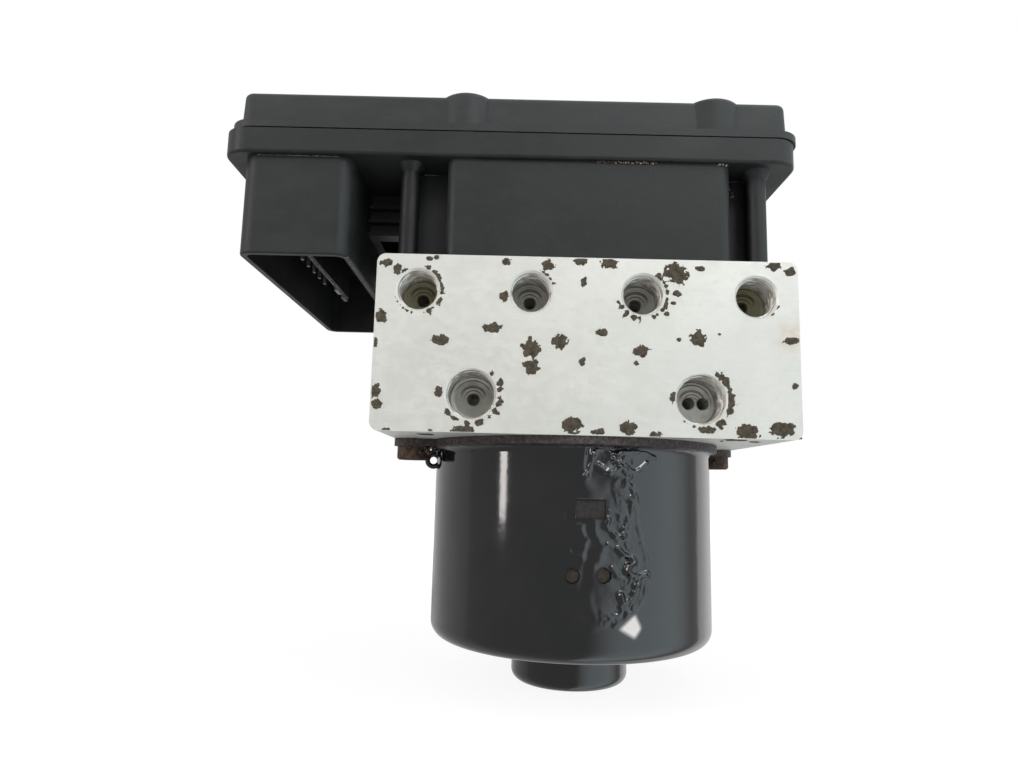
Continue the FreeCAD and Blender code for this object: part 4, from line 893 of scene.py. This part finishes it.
bright_steel = steel("ground_steel", (196, 197, 196), 0.22, (8.0, 8.0, 0.15))
dark_steel = steel("soft_iron", (112, 112, 114), 0.38, (6.0, 6.0, 0.2))
plated_steel = steel("plated_steel", (176, 176, 166), 0.3, (1.2, 1.2, 1.2))
valves = ["%s_valve_%d" % (kind, number) for kind in ("inlet", "outlet") for number in (1, 2, 3, 4)]
wear(bright_steel, *valves, "sealing_balls", "brush_springs", "motor_shaft", "eccentric_ring",
     "eccentric_needles", "pump_plug_left", "pump_plug_right", "pump_piston_left", "pump_piston_right",
     "pump_spring_left", "pump_spring_right", "accumulator_spring_left", "accumulator_spring_right",
     "rear_bearing_outer_ring", "rear_bearing_inner_ring", "front_bearing_outer_ring",
     "front_bearing_inner_ring", "bearing_balls")
wear(dark_steel, "armature_core", *[valve + "_plunger" for valve in valves])
wear(plated_steel, "accumulator_cap_left", "accumulator_cap_right", "housing_screws")


# Return springs. Behind each pump and accumulator piston stands a spring wound from round steel wire.
# Each keeps its length and rides on the module.
pump_stroke = 3.0
accumulator_stroke = 8.0
for spring, piston_joint, along, fixed_end, stroke in (
        ("pump_spring_left", "pump_piston_left_slide", 0, 0, pump_stroke),
        ("pump_spring_right", "pump_piston_right_slide", 0, 1, pump_stroke),
        ("accumulator_spring_left", "accumulator_piston_left_slide", 1, 1, accumulator_stroke),
        ("accumulator_spring_right", "accumulator_piston_right_slide", 1, 1, accumulator_stroke)):
    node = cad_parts[spring]
    wound = bpy.data.objects.new(spring + "_wound", node.data.copy())
    scene.collection.objects.link(wound)
    wound.data.transform(node.matrix_world)
    wound.data.materials.clear()
    wound.data.materials.append(bright_steel)
    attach(wound, "module")
    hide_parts(spring)
    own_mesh(wound)


# Magnets, windings, brushes and seals. Sintered ferrite, varnished copper wire, pressed carbon and rubber.
magnet_skin = material("sintered_ferrite")
magnet_grain = cloud(magnet_skin, 0.7, 5.0, 0.7)
magnet_colour = blend(magnet_grain, tone(44, 43, 44), tone(74, 72, 72))
ferrite = dress(magnet_skin, magnet_colour, 0.7 + magnet_grain * 0.2, magnet_grain * 0.2, magnet_grain, 0.05)
wear(ferrite, "magnet_near", "magnet_far")

copper_skin = material("varnished_copper")
strands = copper_skin.node("ShaderNodeTexWave", {"wave_type": "BANDS", "bands_direction": "DIAGONAL"},
                           {"Vector": copper_skin.place, "Scale": 420.0, "Distortion": 1.5, "Detail": 2.0}, 1)
copper_tint = cloud(copper_skin, 6.0, 4.0)
copper_colour = blend(ramp(copper_tint, 0.35, 0.7), tone(196, 116, 78), tone(150, 82, 52))
copper = dress(copper_skin, copper_colour, 0.28 + copper_tint * 0.2, 0.9 - copper_tint * 0.1, strands, 0.12)
wear(copper, "armature_windings", "commutator", "motor_terminals", "solenoid_coils")

carbon_skin = material("pressed_carbon")
carbon_grain = cloud(carbon_skin, 0.4, 4.0, 0.7)
carbon_colour = blend(carbon_grain, tone(34, 34, 36), tone(58, 58, 60))
carbon = dress(carbon_skin, carbon_colour, 0.6 + carbon_grain * 0.2, carbon_grain * 0.3, carbon_grain, 0.04)
wear(carbon, "brush_left", "brush_right")

seal_skin = material("seal_rubber")
seal_grain = cloud(seal_skin, 0.8, 3.0)
seal_colour = blend(seal_grain, tone(24, 24, 25), tone(44, 43, 42))
rubber = dress(seal_skin, seal_colour, 0.6 + seal_grain * 0.2, 0.0, seal_grain, 0.05)
wear(rubber, "motor_seal", "housing_gasket")


# Control unit. Housing and lid are moulded in black glass-filled nylon, eroded to a fine grain, greyed by
# dust. The lid is welded to the housing's flange and drawn down by four long screws.
def moulded(name, clean, dusty, roughness, sheen=0.24):
    """Moulded nylon: a fine grain, dust in soft patches and rubbed places, painted shade on the two front
    posts.
    """
    finish = material(name)
    grain = cloud(finish, 0.32, 2.0, 0.5)
    dusting = ramp(cloud(finish, (16.0, 16.0, 9.0), 6.0, 0.62, seed=2.0), 0.38, 0.68)
    rubs = ramp(cloud(finish, (7.0, 7.0, 0.5), 4.0, 0.6, 1.5, seed=5.0), 0.64, 0.74)
    mud = ramp(cloud(finish, 2.2, 6.0, 0.7, seed=8.0), 0.66, 0.74)
    shade = blend(dusting, tone(*clean), tone(*dusty))
    # Painted shade: a small black spot on the right post stands for the shade in a dimple.
    shade = blend(near(finish, 47.3, -79.4, 41.4, 0.9), shade, tone(12, 12, 12))
    # Painted shade: the left post below the flange is coloured near-black for the shade that falls on it
    # there.
    painted_post_shade = ramp(abs(axis(finish, "X") + 46.3), 3.0, 4.0, 1.0, 0.0) * ramp(axis(finish, "Y"), -70, -74)
    painted_post_shade = painted_post_shade * ramp(axis(finish, "Z"), 46.5, 49.5, 1.0, 0.0)
    shade = blend(painted_post_shade, shade, tone(14, 14, 14))
    shade = blend(near(finish, -66.0, 12.0, 26.0, 11.0) * 0.5, shade, tone(92, 82, 76))
    shade = blend(rubs * 0.3, shade, tone(*[part * 1.3 for part in dusty]))
    shade = blend(mud * 0.3, shade, tone(84, 78, 68))
    rough = roughness + dusting * 0.14 - rubs * 0.12 + mud * 0.15
    return dress(finish, shade, rough, 0.0, grain + rubs * 0.3, 0.035, Specular_IOR_Level=sheen)


housing_nylon = moulded("housing_nylon", (31, 33, 33), (41, 43, 43), 0.44)
lid_nylon = moulded("lid_nylon", (42, 45, 44), (55, 57, 58), 0.48)
wear(housing_nylon, "control_housing")
wear(lid_nylon, "housing_lid")


# Burrs and dirt. The mould has left ragged white burrs along the keying rib, the connector's rim and the
# corners under the flange. Dried mud and rust crumbs have caught under the flange and round the ears.
crumb_sizes = [("Size", "Vector", (mm, mm, mm)), ("Turn", "Float", 3.0), ("Seed", "Int", 1),
               ("Finish", "Material", None)]
crumb_tree = new_tree("crumbs", crumb_sizes)
smallest_crumb = 0.45
largest_crumb = 1.3


def crumb_nodes(tree):
    """Rough lumps of a size, set on the points, each turned and scaled at random."""
    nodes, links = tree.nodes, tree.links
    given = nodes.new("NodeGroupInput")
    lump = nodes.new("GeometryNodeMeshIcoSphere")
    lump.inputs["Radius"].default_value = 0.5
    lump.inputs["Subdivisions"].default_value = 1
    stretch = nodes.new("GeometryNodeTransform")
    turned_back = nodes.new("ShaderNodeVectorMath")
    turned_on = nodes.new("ShaderNodeVectorMath")
    for scaled, sign in ((turned_back, -1.0), (turned_on, 1.0)):
        scaled.operation = "SCALE"
        scaled.inputs[0].default_value = (sign, sign, sign)
        links.new(given.outputs["Turn"], scaled.inputs["Scale"])
    turn = nodes.new("FunctionNodeRandomValue")
    turn.data_type = "FLOAT_VECTOR"
    growth = nodes.new("FunctionNodeRandomValue")
    growth.data_type = "FLOAT"
    growth.inputs[2].default_value = smallest_crumb
    growth.inputs[3].default_value = largest_crumb
    instances = nodes.new("GeometryNodeInstanceOnPoints")
    solid = nodes.new("GeometryNodeRealizeInstances")
    coat = nodes.new("GeometryNodeSetMaterial")
    out = nodes.new("NodeGroupOutput")
    links.new(lump.outputs["Mesh"], stretch.inputs["Geometry"])
    links.new(given.outputs["Size"], stretch.inputs["Scale"])
    links.new(turned_back.outputs[0], turn.inputs[0])
    links.new(turned_on.outputs[0], turn.inputs[1])
    links.new(given.outputs["Seed"], turn.inputs["Seed"])
    links.new(given.outputs["Seed"], growth.inputs["Seed"])
    links.new(given.outputs["Geometry"], instances.inputs["Points"])
    links.new(stretch.outputs["Geometry"], instances.inputs["Instance"])
    links.new(turn.outputs[0], instances.inputs["Rotation"])
    links.new(growth.outputs[1], instances.inputs["Scale"])
    links.new(instances.outputs["Instances"], solid.inputs["Geometry"])
    links.new(solid.outputs["Geometry"], coat.inputs["Geometry"])
    links.new(given.outputs["Finish"], coat.inputs["Material"])
    links.new(coat.outputs["Geometry"], out.inputs["Geometry"])


crumb_nodes(crumb_tree)


def strewn(path, count, spread, seed):
    """Points along a path in millimetres, each moved at random by up to a spread on each axis."""
    draw = random.Random(seed)
    points = []
    for number in range(count):
        along = (number + draw.random()) / count * (len(path) - 1)
        start = min(int(along), len(path) - 2)
        share = along - start
        points.append(tuple(a + (b - a) * share + draw.uniform(-s, s)
                            for a, b, s in zip(path[start], path[start + 1], spread)))
    return points


def speckled(name, pale, dark, size):
    """A dry, rough crumb finish between two colours."""
    finish = material(name)
    grain = cloud(finish, size, 4.0, 0.7)
    shade = blend(ramp(grain, 0.38, 0.62), tone(*pale), tone(*dark))
    return dress(finish, shade, 0.8 + grain * 0.15, 0.0, grain, 0.05)


white_nylon = speckled("torn_nylon", (150, 150, 148), (104, 104, 102), 0.5)
dried_mud = speckled("dried_mud", (118, 104, 88), (66, 57, 48), 0.8)
salt_crumb = speckled("road_salt", (205, 203, 198), (150, 147, 140), 0.5)
rust_crumb = speckled("rust_crumbs", (92, 78, 70), (44, 38, 36), 0.7)
key_rib_burr = strewn([(-73.2, -80.5, 25.5), (-73.2, -29.6, 25.5)], 120, (0.35, 0.0, 0.12), 21)
rib_end_burr = strewn([(-73.2, -31.5, 25.5), (-73.2, -29.2, 25.5)], 16, (0.8, 0.3, 0.3), 22)
connector_rim_burr = [(-61.6, -80.0 + 1.35 * number, 23.25) for number in range(27)]
corner_burrs = strewn([(-43.6, -72.3, 49.7), (-39.0, -72.3, 49.7)], 14, (0.1, 0.05, 0.06), 23)
corner_burrs += strewn([(38.8, -72.5, 49.7), (45.3, -72.4, 49.7)], 20, (0.1, 0.05, 0.06), 24)
corner_burrs += strewn([(-86.0, -82.5, 49.7), (-64.5, -82.5, 49.7)], 60, (0.2, 0.06, 0.08), 25)
flange_mud = strewn([(2.8, -83.0, 49.6), (18.5, -83.0, 49.6)], 70, (0.3, 0.2, 0.25), 26)
flange_mud += strewn([(33.0, -83.0, 49.6), (37.0, -82.6, 49.6)], 14, (0.3, 0.2, 0.2), 27)
flange_salt = strewn([(7.5, -83.1, 49.5), (18.0, -83.1, 49.5)], 14, (0.6, 0.2, 0.3), 29)
flange_salt += strewn([(34.6, -83.0, 49.4), (36.4, -83.0, 49.4)], 5, (0.3, 0.2, 0.3), 30)
flange_salt += strewn([(40.5, -72.8, 47.6), (41.5, -72.8, 44.0)], 6, (0.5, 0.1, 0.8), 31)

screw_points = [vertex.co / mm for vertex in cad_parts["motor_screws"].data.vertices]
left_points = [point for point in screw_points if point.x < 0]
right_points = [point for point in screw_points if point.x > 0]
left_screw = sum(left_points, Vector()) / len(left_points)
right_screw = sum(right_points, Vector()) / len(right_points)
ear_level = can_top - 1.2


def by_screw(screw, right, back):
    """A point at the ears' level, beside a motor screw."""
    return (screw.x + right, screw.y + back, ear_level)


ear_rust = strewn([by_screw(left_screw, 7, -2.5), by_screw(left_screw, -2, -3.0)], 60, (1.5, 2.4, 0.9), 32)
ear_rust += strewn([by_screw(right_screw, -7, -2.0), by_screw(right_screw, 3, -2.0)], 80, (1.5, 2.6, 1.1), 33)
any_way = 3.0
for label, points, size, turn, seed, made_of, slot in (
        ("key_rib_burr", key_rib_burr, (0.3, 0.9, 0.35), 0.5, 1, white_nylon, "housing_plastic"),
        ("rib_end_burr", rib_end_burr, (0.5, 0.5, 0.5), any_way, 2, white_nylon, "housing_plastic"),
        ("connector_rim_burr", connector_rim_burr, (1.2, 0.3, 0.35), 0.12, 3, white_nylon, "housing_plastic"),
        ("flange_corner_burrs", corner_burrs, (0.6, 0.16, 0.16), 0.25, 4, white_nylon, "housing_plastic"),
        ("flange_mud", flange_mud, (0.55, 0.3, 0.4), any_way, 5, dried_mud, "housing_plastic"),
        ("flange_salt", flange_salt, (0.5, 0.35, 0.4), any_way, 6, salt_crumb, "housing_plastic"),
        ("ear_rust", ear_rust, (1.1, 1.0, 0.8), any_way, 7, rust_crumb, "motor_paint")):
    values = {"Size": tuple(side * mm for side in size), "Turn": turn, "Seed": seed, "Finish": made_of}
    grow(label, points, crumb_tree, values, made_of, "module")


# Insulators, contacts and board. Brush plate and terminal post are moulded; the pins are tinned brass; the
# board is lacquered green, with its chips in black resin.
insert_skin = material("insert_plastic")
insert_grain = cloud(insert_skin, 0.5, 2.0)
insert_colour = blend(insert_grain, tone(34, 34, 35), tone(48, 48, 48))
insert_plastic = dress(insert_skin, insert_colour, 0.5 + insert_grain * 0.15, 0.0, insert_grain, 0.03)
wear(insert_plastic, "brush_plate", "motor_terminal_post")

pin_skin = material("tinned_contacts")
pin_marks = cloud(pin_skin, (0.6, 0.6, 4.0), 3.0)
pin_colour = blend(pin_marks, tone(150, 147, 138), tone(184, 181, 172))
tinned_brass = dress(pin_skin, pin_colour, 0.35 + pin_marks * 0.2, 0.85 + pin_marks * 0.1, pin_marks, 0.02)
wear(tinned_brass, "connector_pins")

board_skin = material("lacquered_board")
tracks = board_skin.node("ShaderNodeTexBrick", {},
                         {"Vector": board_skin.place, "Scale": 380.0, "Mortar Size": 0.02}, "Fac")
board_grain = cloud(board_skin, 3.0, 4.0)
board_colour = blend(ramp(board_grain, 0.3, 0.7), tone(34, 78, 52), tone(26, 62, 42))
board_colour = blend(tracks * 0.5, board_colour, tone(58, 112, 76))
chip_zone = ramp(axis(board_skin, "Z"), 54.95, 55.05)
board_colour = blend(chip_zone, board_colour, tone(30, 30, 32))
lacquered_board = dress(board_skin, board_colour, 0.35 + board_grain * 0.2, 0.0, tracks, 0.04)
wear(lacquered_board, "circuit_board")
